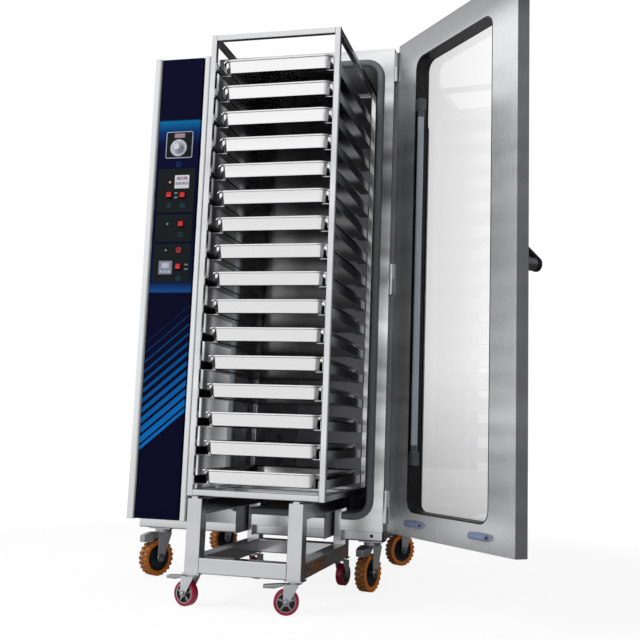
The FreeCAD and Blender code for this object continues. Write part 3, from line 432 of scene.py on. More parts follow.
# %% Hand out the finishes
finish_of = (
    (sheet_steel, ("plinth_frame", "hinge_leaves")), (fascia_steel, ("front_fascia",)),
    (casing_steel, ("outer_casing",)), (door_steel, ("door_frame",)),
    (tube_steel, ("trolley_base", "rack_cage", "fan_lower", "fan_upper")),
    (liner_steel, ("chamber_liner", "chamber_rails", "fan_baffle")),
    (trim_metal, ("panel_trims",)), (panel_print, ("control_panel",)), (module_black, ("control_modules",)),
    (knob_plastic, ("timer_knob",)), (gasket_rubber, ("door_gasket",)), (lining_black, ("window_seal",)),
    (window_glass, ("door_glass",)), (lamp_sleeve, ("door_lamp",)), (plug_silicone, ("seal_plugs",)),
    (handle_plastic, ("handle_lever",)), (motor_paint, ("fan_motors",)), (heater_sheath, ("heating_elements",)),
    (switch_red, [n for n in nodes if n.startswith("rocker_")]),
    (tray_metal, [n for n in nodes if n.startswith("tray_")]),
    (zinc, [n for n in nodes if "_fork_" in n]),
    (tyre_orange, [n for n in nodes if n.startswith("oven_wheel_")]),
    (tread_burgundy, [n for n in nodes if n.startswith("trolley_wheel_")]),
)
for finish, names in finish_of:
    for name in names:
        nodes[name].data.materials.clear()
        nodes[name].data.materials.append(finish)
print("solids with a finish:", sum(len(names) for _, names in finish_of))

# %% [markdown]
# ## From shapes to a piece
# Each new piece is put together from a few shapes. Every shape stays a bmesh of its own until it is finished, so
# that merging doubles or turning normals never touches its neighbours. Joined, they ride on a body of the oven.

# %% Helpers for pieces
def tinted(bm, slot):
    """Give all faces of a shape one material slot."""
    for f in bm.faces:
        f.material_index = slot
    return bm


def make_piece(name, shapes, finishes, body, stands_for=(), at=None):
    """Join shapes into one mesh object that rides on a body."""
    whole = bmesh.new()
    for shape in shapes:
        part = bpy.data.meshes.new("part")
        shape.to_mesh(part)
        shape.free()
        whole.from_mesh(part)
        bpy.data.meshes.remove(part)
    if at is not None:
        bmesh.ops.transform(whole, matrix=at, verts=whole.verts[:])
    mesh = bpy.data.meshes.new(name)
    whole.to_mesh(mesh)
    whole.free()
    mesh.shade_smooth()
    mesh.set_sharp_from_angle(angle=math.radians(40))
    for finish in finishes:
        mesh.materials.append(finish)
    obj = bpy.data.objects.new(name, mesh)
    scene.collection.objects.link(obj)
    shading = obj.modifiers.new("flat faces stay flat", "WEIGHTED_NORMAL")
    shading.keep_sharp = True
    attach(obj, body)
    if stands_for:
        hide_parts(*stands_for)
    return obj


print("piece helpers ready")

# %% [markdown]
# ## Trays
# A baking tray is one pressed sheet. A single face is inset again and again, each time a little deeper, so the
# rings follow the section of the real tray from the rim over the wall to the floor. The outer edge is extruded
# under itself to roll the rim, and solidify gives the sheet its thickness. One section serves all sixteen.

# %% Sixteen pressed trays
tray_sheet, tray_corner, rim_r = 0.0012, 0.042, 0.0035
rim_out = Vector((0.006, 0.0, 0.0))
lip_out = Vector((0.0, 0.012, 0.0))
rim_under = ((0.0005, 0.0018), (0.0013, 0.0012), (0.0017, 0.0005), (0.0015, -0.0004))
tray_steps = ((0.0005, 0.0018), (0.0013, 0.0012), (0.0017, 0.0005), (0.0017, -0.0005), (0.0013, -0.0012),
              (0.0028, -0.0050), (0.0054, -0.0325), (0.0012, -0.0052), (0.0030, -0.0016))


def rounded_face(lay, corner):
    """Unit square laid by a matrix, with rounded corners."""
    bm = bmesh.new()
    bmesh.ops.create_grid(bm, x_segments=1, y_segments=1, size=0.5, matrix=lay)
    if corner:
        bmesh.ops.bevel(bm, geom=bm.verts[:], offset=corner, affect="VERTICES", segments=6, profile=0.5,
                        material=-1)
    return bm


def open_edges(bm):
    """Edges with a face on one side only."""
    return [e for e in bm.edges if e.is_boundary]


def pressed_tray(lo, hi):
    """Tray between two corners: nested insets down to the floor, then the rim rolled under."""
    middle = Vector(((lo.x + hi.x) / 2, (lo.y + hi.y) / 2, hi.z - rim_r))
    size = hi - lo
    bm = rounded_face(Matrix.Translation(middle) @ Matrix.Diagonal((size.x, size.y, 1, 1)), tray_corner)
    floor_face = bm.faces[:]
    for inwards, upwards in tray_steps:
        bmesh.ops.inset_region(bm, faces=floor_face, thickness=inwards, depth=upwards, use_even_offset=True,
                               use_boundary=True)
    for inwards, down in rim_under:
        rolled = bmesh.ops.extrude_edge_only(bm, edges=open_edges(bm))["geom"]
        lower = [v for v in rolled if isinstance(v, bmesh.types.BMVert)]
        bmesh.ops.scale(bm, vec=(1 - 2 * inwards / size.x, 1 - 2 * inwards / size.y, 1),
                        space=Matrix.Translation(-middle), verts=lower)
        bmesh.ops.translate(bm, vec=(0, 0, -down), verts=lower)
    bmesh.ops.recalc_face_normals(bm, faces=bm.faces[:])
    bmesh.ops.solidify(bm, geom=bm.faces[:], thickness=tray_sheet)
    return tinted(bm, 0)


for node in sorted(n for n in nodes if n.startswith("tray_")):
    low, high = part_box(node)
    make_piece(f"{node}_pressing", [pressed_tray(low - rim_out - lip_out, high + rim_out)], [tray_metal], node,
               (node,))

# %% [markdown]
# ## Plates and frames
# Much of an oven's front is flat: gaskets, bezels and switch plates. They could be boxes cut by other boxes, but a
# face with rounded corners that is inset, opened and pushed forward keeps clean rings of faces for the bevels.

# %% Helpers for plates and frames
def soften(bm, edges, bevel, segments):
    """Round edges, where a bevel is given."""
    if bevel:
        bmesh.ops.bevel(bm, geom=edges, offset=bevel, affect="EDGES", segments=segments, profile=0.5, material=-1)


def upright_face(x0, x1, z0, z1, y, corner=0.0):
    """One face parallel to the oven's front, with rounded corners."""
    return rounded_face(Matrix.Translation(((x0 + x1) / 2, y, (z0 + z1) / 2)) @ Matrix.Rotation(math.pi / 2, 4, "X")
                        @ Matrix.Diagonal((x1 - x0, z1 - z0, 1, 1)), corner)


def raised(bm, front, bevel=0.0, slot=0, segments=2):
    """Push an upright sheet forward to the front plane and soften its front edges."""
    grown = bmesh.ops.extrude_face_region(bm, geom=bm.faces[:])
    tops = [v for v in grown["geom"] if isinstance(v, bmesh.types.BMVert)]
    back = bm.verts[:][0].co.y
    bmesh.ops.translate(bm, vec=(0, front - back, 0), verts=tops)
    bmesh.ops.recalc_face_normals(bm, faces=bm.faces[:])
    rim = [e for e in bm.edges if all(abs(v.co.y - front) < 1e-6 for v in e.verts)
           and any(abs(f.normal.y) < 0.5 for f in e.link_faces)]
    soften(bm, rim, bevel, segments)
    return tinted(bm, slot)


def ring(x0, x1, z0, z1, back, front, corner, width, bevel=0.0, slot=0, segments=2):
    """Frame parallel to the oven's front; width is measured inwards."""
    bm = upright_face(x0, x1, z0, z1, back, corner)
    middle = bm.faces[:]
    bmesh.ops.inset_region(bm, faces=middle, thickness=width, use_even_offset=True, use_boundary=True)
    bmesh.ops.delete(bm, geom=middle, context="FACES")
    return raised(bm, front, bevel, slot, segments)


print("plates and frames ready")

# %% [markdown]
# ## Gasket
# The door closes on a rubber bulb round the opening. It is a rounded frame with a generous bevel along its
# front, cut with two planes at each docking notch, where the real one stops too.

# %% Gasket
gasket_lo, gasket_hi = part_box("door_gasket")
base_lo, base_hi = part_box("trolley_base")
gasket_w, gasket_r, bulb_r = 0.025, 0.070, 0.009
leg_w, notch_gap = 0.050, 0.006
sill = gasket_lo.z + 2 * gasket_w
notches = [(x - notch_gap, x + leg_w + notch_gap) for x in (base_lo.x, base_hi.x - leg_w)]
bulb = ring(gasket_lo.x, gasket_hi.x, gasket_lo.z, gasket_hi.z, gasket_hi.y, gasket_lo.y, gasket_r, gasket_w,
            bulb_r, segments=4)
for start, end in notches:
    for x in (start, end):
        low_faces = [f for f in bulb.faces if f.calc_center_median().z < sill]
        low = {g for f in low_faces for g in (f, *f.edges, *f.verts)}
        bmesh.ops.bisect_plane(bulb, geom=list(low), plane_co=(x, 0, 0), plane_no=(1, 0, 0))
    gone = [f for f in bulb.faces if f.calc_center_median().z < sill and start < f.calc_center_median().x < end]
    bmesh.ops.delete(bulb, geom=gone, context="FACES")
bmesh.ops.holes_fill(bulb, edges=open_edges(bulb), sides=0)
bmesh.ops.recalc_face_normals(bulb, faces=bulb.faces[:])
make_piece("gasket_bulb", [bulb], [gasket_rubber], "oven", ("door_gasket",))
print("gasket cut at", [tuple(round(x, 3) for x in pair) for pair in notches])

# %% [markdown]
# ## Finishes of the controls
# Switches, lamps and controllers are moulded in many small colours. One list holds them all, and each gets a
# number, so that a shape among the controls only has to say which one it wears. The plates shine less than the rest.

# %% Finishes of the controls
plate_shine, case_shine = 0.15, 0.5
control_finishes = [plastic(name, color, rough, bump=0.03, specular=shine) for name, color, rough, shine in (
    ("plate_black", (0.004, 0.007, 0.008), 0.5, plate_shine),
    ("outline_teal", (0.004, 0.022, 0.035), 0.5, plate_shine),
    ("frame_pale", (0.50, 0.50, 0.58), 0.4, plate_shine), ("well_black", (0.003, 0.003, 0.004), 0.6, plate_shine),
    ("dial_pale", (0.62, 0.62, 0.68), 0.35, case_shine), ("case_white", (0.80, 0.79, 0.82), 0.35, case_shine),
    ("screen_rose", (0.36, 0.25, 0.31), 0.25, case_shine), ("case_grey", (0.25, 0.26, 0.33), 0.4, case_shine),
    ("screen_pale", (0.55, 0.57, 0.70), 0.25, case_shine), ("print_white", (0.75, 0.77, 0.80), 0.5, case_shine),
    ("icon_blue", (0.0, 0.075, 0.30), 0.5, case_shine), ("icon_teal", (0.0, 0.065, 0.10), 0.5, case_shine),
    ("buzzer_red", (0.40, 0.012, 0.035), 0.3, case_shine), ("lens_amber", (0.90, 0.42, 0.22), 0.2, case_shine),
    ("lens_green", (0.10, 0.42, 0.30), 0.2, case_shine))]
(plate_black, outline_teal, frame_pale, well_black, dial_pale, case_white, screen_rose, case_grey, screen_pale,
 print_white, icon_blue, icon_teal, buzzer_red, lens_amber, lens_green) = range(len(control_finishes))
print("control finishes:", len(control_finishes))

# %% [markdown]
# ## Switch plates
# Three black plates carry the switches. A boolean could cut them, but planes that slice the flat face before it is
# raised leave a clean square hole, so that the keys have a real well to rock in.

# %% Plates with wells for the switches
panel_face = panel_lo.y
plate_face = panel_face - 0.0015
panel_mid = (panel_lo.x + panel_hi.x) / 2
plate_half, plate_corner = 0.077, 0.008
line_in, line_w, line_out = 0.002, 0.0010, 0.0002
key_half = Vector((0.010, 0, 0.011))
key_frame, key_frame_out = 0.003, 0.0025
well_wall, well_depth = 0.0015, 0.009
keys = [Vector(joints[f"rocker_{i}_tilt"]["pos_m"]) for i in (1, 2, 3, 4)]
plate_spans = ((1.404, 1.581), (1.285, 1.395), (1.124, 1.276))


def everything(bm):
    """All corners, edges and faces of a shape."""
    return bm.verts[:] + bm.edges[:] + bm.faces[:]


def welled_plate(z0, z1):
    """Black plate with a square hole for every switch that lies on it."""
    bm = upright_face(panel_mid - plate_half, panel_mid + plate_half, z0, z1, panel_face, plate_corner)
    for key in (k for k in keys if z0 < k.z < z1):
        for no in ((1, 0, 0), (0, 0, 1)):
            for co in (key - key_half, key + key_half):
                bmesh.ops.bisect_plane(bm, geom=everything(bm), plane_co=co, plane_no=no)
    gone = [f for f in bm.faces for key in keys if abs(f.calc_center_median().x - key.x) < key_half.x
            and abs(f.calc_center_median().z - key.z) < key_half.z]
    bmesh.ops.delete(bm, geom=gone, context="FACES")
    return raised(bm, plate_face, 0.0, plate_black)


controls = []
for z0, z1 in plate_spans:
    controls += [welled_plate(z0, z1),
                 ring(panel_mid - plate_half + line_in, panel_mid + plate_half - line_in, z0 + line_in,
                      z1 - line_in, plate_face, plate_face - line_out, 0.007, line_w, slot=outline_teal)]
for key in keys:
    for grown, back, front, corner, bevel in ((key_frame, plate_face, plate_face - key_frame_out, 0.002, 0.0006),
                                              (well_wall, panel_face + well_depth, plate_face, 0.0005, 0.0)):
        w, h = key_half.x + grown, key_half.z + grown
        controls.append(ring(key.x - w, key.x + w, key.z - h, key.z + h, back, front, corner, grown, bevel,
                             well_black))
print("plates:", len(plate_spans), "switch wells:", len(keys))

# %% [markdown]
# ## Turned bodies and rows
# Dials, lenses, wheels and bolts are round, so half of their section is drawn and spun. Rows of equal marks or
# teeth are one tooth and a spin that copies it. Both are drawn round the Z axis and then carried to their place.

# %% Helpers for round bodies
def block(lo, hi, bevel=0.0, slot=0, segments=2):
    """Box between two corners, with its edges rounded."""
    bm = bmesh.new()
    lo, hi = Vector(lo), Vector(hi)
    bmesh.ops.create_cube(bm, size=1, matrix=Matrix.Translation((lo + hi) / 2) @ Matrix.Diagonal((*(hi - lo), 1)))
    soften(bm, bm.edges[:], bevel, segments)
    return tinted(bm, slot)


def moved(bm, matrix):
    """Shape carried to its place."""
    bmesh.ops.transform(bm, matrix=matrix, verts=bm.verts[:])
    return bm


def turned(profile, at, slot=0, steps=32):
    """Body of revolution about the Z axis of a matrix; the profile is a list of (radius, height)."""
    bm = bmesh.new()
    points = [bm.verts.new((radius, 0, height)) for radius, height in profile]
    for pair in zip(points, points[1:]):
        bm.edges.new(pair)
    bmesh.ops.spin(bm, geom=bm.verts[:] + bm.edges[:], cent=(0, 0, 0), axis=(0, 0, 1), angle=math.tau,
                   steps=steps, use_merge=True)
    bmesh.ops.remove_doubles(bm, verts=bm.verts[:], dist=1e-6)
    bmesh.ops.recalc_face_normals(bm, faces=bm.faces[:])
    return tinted(moved(bm, at), slot)


def closed(profile):
    """Profile that ends where it starts, for a ring."""
    return profile + profile[:1]


def row_round(tooth, count):
    """Copies of a shape, spread evenly round the Z axis."""
    bmesh.ops.spin(tooth, geom=everything(tooth), cent=(0, 0, 0), axis=(0, 0, 1),
                   angle=math.tau * (count - 1) / count, steps=count - 1, use_duplicate=True)
    return tooth


def along(spot, direction):
    """Matrix at a spot whose Z axis points along a direction."""
    return Matrix.Translation(spot) @ Vector(direction).to_track_quat("Z", "Y").to_matrix().to_4x4()


def facing(x, y, z):
    """Matrix at a spot whose Z axis points out of the oven's front."""
    return along((x, y, z), (0, -1, 0))


print("round bodies ready")

# %% [markdown]
# ## Slabs and letters
# Cases, screens and keys are thin slabs with soft corners. Letters start as a text curve and become a mesh before
# they are placed, because every piece is built as a mesh.

# %% Helpers for slabs and letters
def slab(x, z, w, h, front, thick, slot, corner=0.0015):
    """Thin plate centred at a place on the panel."""
    face = upright_face(x - w / 2, x + w / 2, z - h / 2, z + h / 2, front + thick, corner)
    return raised(face, front, thick / 3, slot)


def lettering(text, size, x, z, face, slot):
    """Thin letters on a front plane."""
    curve = bpy.data.curves.new("letters", "FONT")
    curve.body = text
    curve.size = size
    curve.align_x = "CENTER"
    curve.align_y = "CENTER"
    curve.extrude = 0.0001
    holder = bpy.data.objects.new("letters", curve)
    flat = bpy.data.meshes.new_from_object(holder)
    bm = bmesh.new()
    bm.from_mesh(flat)
    moved(bm, Matrix.Translation((x, face, z)) @ Matrix.Rotation(math.pi / 2, 4, "X"))
    bpy.data.objects.remove(holder)
    bpy.data.curves.remove(curve)
    bpy.data.meshes.remove(flat)
    return tinted(bm, slot)


print("slabs and letters ready")

# %% [markdown]
# ## Timer plate
# The timer sits in a black plate with a pale frame, under a small display. Round its knob lies a pale disc with a
# printed circle and twelve marks, one tick copied round.

# %% Timer plate
dial = Vector(joints["timer_turn"]["pos_m"])
bezel_x, bezel_z = -0.363, 1.679
bezel_w, bezel_h, bezel_line = 0.057, 0.055, 0.0035
timer_face = panel_face - 0.0030
dial_at = facing(dial.x, timer_face, dial.z)
dial_disc = [(0, 0.0010), (0.0335, 0.0010), (0.0345, 0.0006), (0.0350, 0)]
dial_line = closed([(0.0270, 0.0010), (0.0270, 0.0011), (0.0276, 0.0011), (0.0276, 0.0010)])
tick = block((-0.0005, 0.0285, 0.0008), (0.0005, 0.0325, 0.0011), slot=case_grey)
controls += [
    ring(bezel_x - bezel_w, bezel_x + bezel_w, bezel_z - bezel_h, bezel_z + bezel_h, panel_face,
         panel_face - 0.004, 0.008, bezel_line, 0.0008, frame_pale),
    slab(bezel_x, bezel_z, 0.108, 0.104, timer_face, 0.003, plate_black, 0.005),
    slab(bezel_x, 1.717, 0.044, 0.018, panel_face - 0.0034, 0.002, screen_rose),
    turned(dial_disc, dial_at, dial_pale, 48), turned(dial_line, dial_at, case_grey, 48),
    moved(row_round(tick, 12), dial_at)]
print("timer dial at", [round(c, 3) for c in dial])

# %% [markdown]
# ## Two controllers
# A white one and a grey one are clipped into the plates. Each is a case with a screen, figures and three keys,
# stacked as slabs that stand a few tenths of a millimetre above one another.

# %% Controllers
counter_x, counter_z, screen_z, button_z = -0.3425, 1.527, 1.541, 1.520
meter_x, meter_z, display_z, key_row_z = -0.3915, 1.182, 1.190, 1.166
case_front, screen_front = plate_face - 0.0030, plate_face - 0.0033
figure_front, button_front = plate_face - 0.0035, plate_face - 0.0038
controls += [
    slab(counter_x, counter_z, 0.061, 0.054, case_front, 0.003, case_white),
    slab(counter_x, screen_z, 0.046, 0.013, screen_front, 0.002, screen_rose),
    slab(counter_x, button_z, 0.053, 0.010, screen_front, 0.002, case_grey),
    slab(meter_x, meter_z, 0.057, 0.054, case_front, 0.003, case_grey),
    slab(meter_x, display_z, 0.034, 0.023, screen_front, 0.002, screen_pale),
    lettering("88", 0.020, meter_x, display_z, figure_front, case_white),
    lettering("150", 0.012, counter_x, screen_z, figure_front, case_white)]
for i in (-1, 0, 1):
    controls += [slab(meter_x + 0.016 * i, key_row_z, 0.011, 0.011, button_front, 0.002, screen_pale, 0.003),
                 slab(counter_x + 0.017 * i, button_z, 0.011, 0.005, button_front, 0.002, screen_pale)]
print("shapes among the controls so far:", len(controls))

# %% [markdown]
# ## Lamps and buzzer
# Pilot lamps are small domed lenses in a black collar. The buzzer is a red cap with three slots, drawn as dark
# bars of painted shade, since the slots are too fine to cut.

# %% Lamps and buzzer
lamp_x, buzzer_x, buzzer_z = -0.393, -0.339, 1.251
lens = [(0, 0.0042), (0.0030, 0.0036), (0.0050, 0.0020), (0.0058, 0)]
lens_collar = closed([(0.0058, 0), (0.0058, 0.0016), (0.0078, 0.0012), (0.0082, 0)])
for z, slot in ((1.526, lens_amber), (1.357, lens_green), (buzzer_z, lens_green)):
    at = facing(lamp_x, plate_face, z)
    controls += [turned(lens, at, slot, 20), turned(lens_collar, at, well_black, 20)]
buzzer_at = facing(buzzer_x, plate_face, buzzer_z)
buzzer_cap = [(0, 0.0050), (0.0060, 0.0052), (0.0105, 0.0058), (0.0122, 0.0042), (0.0125, 0)]
controls.append(turned(buzzer_cap, buzzer_at, buzzer_red, 32))
for i in (-1, 0, 1):
    # Painted shade: a dark bar lies where each slot's recess would be.
    slot_shade_bar = block((-0.0060, 0.0036 * i - 0.0007, 0.0048), (0.0060, 0.0036 * i + 0.0007, 0.0055), slot=well_black)
    controls.append(moved(slot_shade_bar, buzzer_at))
print("shapes with lamps and buzzer:", len(controls))

# %% [markdown]
# ## Small signs
# Switches are marked ON and OFF, and a ring with a few strokes stands under each control. The strokes are plain
# bars, one to three of them. All these shapes make one piece, which stands for the plain control solid.

# %% Signs
switch_signs = (("ON", -0.3655, 1.4815), ("OFF", -0.3655, 1.4635), ("ON", -0.3055, 1.1935), ("OFF", -0.3055, 1.1755))
ring_signs = ((-0.363, 1.600, panel_face, icon_blue, 1), (-0.393, 1.433, plate_face, icon_teal, 2),
              (-0.336, 1.431, plate_face, icon_teal, 3), (-0.337, 1.314, plate_face, icon_teal, 1),
              (-0.336, 1.139, plate_face, icon_teal, 2))
ink_thick, stroke_step = 0.0002, 0.0045
sign_ring = closed([(0.0088, 0), (0.0088, ink_thick), (0.0105, ink_thick), (0.0105, 0)])
for text, x, z in switch_signs:
    controls.append(lettering(text, 0.0085, x, z, plate_face - 0.0001, print_white))
for x, z, face, slot, strokes in ring_signs:
    controls.append(turned(sign_ring, facing(x, face, z), slot, 28))
    for i in range(strokes):
        shift = (i - (strokes - 1) / 2) * stroke_step
        controls.append(slab(x + shift, z, 0.0020, 0.0100, face - ink_thick, ink_thick, slot, 0.0))
print("shapes among the controls:", len(controls))
make_piece("panel_controls", controls, control_finishes, "oven", ("control_modules",))

# %% [markdown]
# ## Timer knob
# The knob has a ribbed skirt and a smooth cap. Both are turned, and the ribs are one small block copied round.

# %% Timer knob
knob_at = facing(dial.x, panel_face, dial.z)
skirt = [(0, 0.0048), (0.0205, 0.0048), (0.0210, 0.0056), (0.0200, 0.0110), (0.0185, 0.0125), (0, 0.0125)]
cap = [(0, 0.0120), (0.0140, 0.0120), (0.0132, 0.0225), (0.0115, 0.0240), (0, 0.0242)]
rib = block((-0.0009, 0.0192, 0.0056), (0.0009, 0.0208, 0.0110), 0.0003, 1)
rib_count = 24
make_piece("timer_dial", [turned(skirt, knob_at, 1, 48), turned(cap, knob_at, 0, 40),
                          moved(row_round(rib, rib_count), knob_at)],
           [knob_plastic, control_finishes[frame_pale]], "timer_knob", ("timer_knob",))
print("ribs on the knob:", rib_count)

# %% [markdown]
# ## Oven wheels
# Wheels are turned, so one half of the section is drawn and mirrored before the spin. The oven's tyres carry
# rubber lugs on each shoulder, half a step apart, each a bevelled block copied round. Their outer faces are worn.

# %% Oven wheels
hub_navy = plastic("hub_navy", (0.008, 0.014, 0.024), 0.35)
tread_grey = plastic("tread_grey", (0.16, 0.14, 0.08), 0.6)
wheel_places = ("front_left", "front_right", "rear_left", "rear_right")
lugs_per_side = 22


def mirrored(profile):
    """Closed section of a wheel that is alike on both sides, from its upper half."""
    return closed(profile + [(radius, -height) for radius, height in reversed(profile)])


def axle_frame(kind, name):
    """Matrix at a wheel's middle, its Z axis along the axle."""
    joint = joints[f"{kind}_roll_{name}"]
    return along(joint["pos_m"], joint["axis"])


def lugged_tread():
    """Lugs of both shoulders; their outer faces are worn grey."""
    rows = []
    for side in (0, 1):
        lug = block((-0.0056, 0.0612, 0.0012), (0.0056, 0.0680, 0.0208), 0.0012)
        for f in lug.faces:
            f.material_index = 1 if f.normal.y > 0.9 or f.normal.z < -0.5 else 0
        half_step = Matrix.Rotation(math.pi * side / lugs_per_side, 4, "Z")
        rows.append(moved(row_round(lug, lugs_per_side), half_step @ Matrix.Rotation(math.pi * side, 4, "Y")))
    return rows


tyre = mirrored([(0.0485, 0.0150), (0.0500, 0.0190), (0.0530, 0.0212), (0.0600, 0.0212), (0.0632, 0.0195)])
wheel_disc = mirrored([(0.0072, 0.0205), (0.0135, 0.0205), (0.0150, 0.0150), (0.0300, 0.0125), (0.0440, 0.0125),
                       (0.0484, 0.0160)])
for name in wheel_places:
    shapes = [turned(tyre, Matrix(), 0, 56), turned(wheel_disc, Matrix(), 2, 48), *lugged_tread()]
    make_piece(f"oven_tyre_{name}", shapes, [tyre_orange, tread_grey, hub_navy], f"oven_wheel_{name}",
               (f"oven_wheel_{name}",), axle_frame("oven", name))
print("lugs on each oven wheel:", 2 * lugs_per_side)

# %% [markdown]
# ## Trolley wheels
# The trolley's smaller wheels have a solid tread on a spoked rim. Tread, rim, hub and web are turned, and the
# spokes are one bevelled block copied round.

# %% Trolley wheels
rim_grey = steel("rim_grey", (0.42, 0.43, 0.45), 0.38, (90, 90, 90), contrast=0.15)
web_dark = plastic("web_dark", (0.05, 0.012, 0.02), 0.5)
tread = mirrored([(0.0310, 0.0122), (0.0325, 0.0135), (0.0378, 0.0135), (0.0400, 0.0113)])
rim = mirrored([(0.0262, 0.0100), (0.0275, 0.0124), (0.0312, 0.0124)])
hub = mirrored([(0.0052, 0.0135), (0.0098, 0.0135), (0.0112, 0.0116)])
web = mirrored([(0.0105, 0.0030), (0.0270, 0.0030)])
spokes = 5
for name in wheel_places:
    spoke = block((-0.0034, 0.0098, -0.0104), (0.0034, 0.0270, 0.0104), 0.0012, 1)
    shapes = [turned(tread, Matrix(), 0, 48), turned(rim, Matrix(), 1, 48), turned(hub, Matrix(), 1, 24),
              turned(web, Matrix(), 2, 32), row_round(spoke, spokes)]
    make_piece(f"trolley_tread_{name}", shapes, [tread_burgundy, rim_grey, web_dark], f"trolley_wheel_{name}",
               (f"trolley_wheel_{name}",), axle_frame("trolley", name))
print("trolley wheels:", len(wheel_places), "spokes on each:", spokes)

# %% [markdown]
# ## Hulls and forks
# Rounded bodies that taper, like a pedal or a lever, are easiest as the skin stretched round a few points: the
# hull. Each fork turns, so its fittings are drawn in the fork's own axes: X along the axle, Z up, the swivel at the
# middle.

# %% Helpers for forks
def hull(points, bevel=0.0, slot=0, segments=3):
    """Skin stretched round points, with its edges rounded."""
    bm = bmesh.new()
    for point in points:
        bm.verts.new(point)
    found = bmesh.ops.convex_hull(bm, input=bm.verts[:])
    inside = [v for v in found["geom_interior"] if isinstance(v, bmesh.types.BMVert)]
    bmesh.ops.delete(bm, geom=inside, context="VERTS")
    bmesh.ops.dissolve_limit(bm, angle_limit=math.radians(1), verts=bm.verts[:], edges=bm.edges[:])
    bmesh.ops.recalc_face_normals(bm, faces=bm.faces[:])
    soften(bm, [e for e in bm.edges if e.calc_face_angle(0) > math.radians(15)], bevel, segments)
    return tinted(bm, slot)


def both_sides(points):
    """Points and their mirror images across X = 0."""
    return points + [(-x, y, z) for x, y, z in points]


def fork_frame(kind, name):
    """Matrix on the floor under a swivel, its X axis along the axle."""
    x, y, _ = joints[f"{kind}_swivel_{name}"]["pos_m"]
    ax, ay, _ = joints[f"{kind}_roll_{name}"]["axis"]
    return Matrix.Translation((x, y, 0)) @ Matrix.Rotation(math.atan2(ay, ax), 4, "Z")


print("fork helpers ready")

# %% [markdown]
# ## Fork fittings
# The forks come as bent and welded solids. They still want a race ring at the swivel, bolt heads on the axle and
# the pressed cover of the brake pedal. Oven and trolley casters are one design in two sizes, so one loop fits both
# from a table. Only the front forks have a brake.

# %% Fork fittings
pedal_steel = steel("pedal_steel", (0.38, 0.39, 0.40), 0.30, (60, 60, 60), contrast=0.25, clouds=40, metallic=0.65)
pedal_bevel = 0.0028
fork_sets = {
    "oven": {"race": [(0.0295, 0.1640), (0.0318, 0.1655), (0.0318, 0.1725), (0.0295, 0.1740)],
             "axle": (0.030, 0.068), "side": 0.031, "bolt": 0.0105,
             "pedal": [(0.0255, -0.046, 0.1632), (0.0250, -0.073, 0.1590), (0.0135, -0.1040, 0.1535),
                       (0.0255, -0.070, 0.1285), (0.0135, -0.1040, 0.1285), (0.0255, -0.050, 0.1500)]},
    "trolley": {"race": [(0.0195, 0.0955), (0.0212, 0.0965), (0.0212, 0.1005), (0.0195, 0.1012)],
                "axle": (0.026, 0.040), "side": 0.0195, "bolt": 0.0075,
                "pedal": [(0.0160, -0.034, 0.0955), (0.0165, -0.066, 0.0930), (0.0130, -0.1005, 0.0905),
                          (0.0165, -0.066, 0.0805), (0.0130, -0.1005, 0.0805), (0.0160, -0.036, 0.0885)]},
}
for kind, size in fork_sets.items():
    trail, axle_z = size["axle"]
    bolt_r = size["bolt"]
    bolt_head = [(0, 0.0055), (0.8 * bolt_r, 0.0055), (bolt_r, 0.0045), (bolt_r, 0)]
    washer = [(0, 0.0012), (1.45 * bolt_r, 0.0012), (1.5 * bolt_r, 0)]
    for name in wheel_places:
        shapes = [turned(closed(size["race"]), Matrix(), 0, 40)]
        for side in (-1, 1):
            at = along((side * size["side"], -trail, axle_z), (side, 0, 0))
            shapes += [turned(bolt_head, at, 0, 6), turned(washer, at, 0, 28)]
        if name.startswith("front"):
            shapes.append(hull(both_sides(size["pedal"]), pedal_bevel, 1))
        make_piece(f"{kind}_fork_fittings_{name}", shapes, [bolt_steel, pedal_steel], f"{kind}_fork_{name}",
                   (), fork_frame(kind, name))
print("forks fitted:", len(fork_sets) * len(wheel_places))

# %% [markdown]
# ## Door lamp
# A lamp tube stands in the window's recess, held by two sockets. The door is drawn shut, where its edges run along
# the axes, and one matrix swings every fitting to where the open door stands.

# %% Door lamp
hinge = Vector((*joints["door_hinge"]["pos_m"][:2], 0))
swing = Matrix.Translation(hinge) @ Matrix.Rotation(door_open, 4, "Z") @ Matrix.Translation(-hinge)
socket_grey = plastic("socket_grey", (0.055, 0.065, 0.075), 0.30)
lamp_spot = Vector((0.3515, -0.532, 0))
lamp_low, lamp_high = 0.510, 1.740
ferrule_h, socket_h, socket_half = 0.022, 0.047, 0.014
lamp_at = Matrix.Translation(lamp_spot)
shapes = [turned([(0, lamp_low), (0.0108, lamp_low), (0.0115, lamp_low + 0.001), (0.0115, lamp_high - 0.001),
                  (0.0108, lamp_high), (0, lamp_high)], lamp_at, 0, 28)]
for z in (lamp_low + 0.001, lamp_high - 0.001 - ferrule_h):
    ferrule = [(0.0113, z), (0.0119, z + 0.0006), (0.0119, z + ferrule_h - 0.0006), (0.0113, z + ferrule_h)]
    shapes.append(turned(closed(ferrule), lamp_at, 1, 28))
for z in (lamp_low - socket_h, lamp_high):
    shapes.append(block(lamp_spot + Vector((-socket_half, -socket_half, z)),
                        lamp_spot + Vector((socket_half, socket_half, z + socket_h)), 0.004, 1, 3))
make_piece("door_lamp_set", shapes, [lamp_sleeve, socket_grey], "door", ("door_lamp",), swing)
print("lamp tube of", round(lamp_high - lamp_low, 3), "m on the door")

# %% [markdown]
# ## Notch plugs
# Two hollow silicone plugs on the door close the docking notches. Each is a turned tube, and a plane flattens it
# where it is glued to the door.

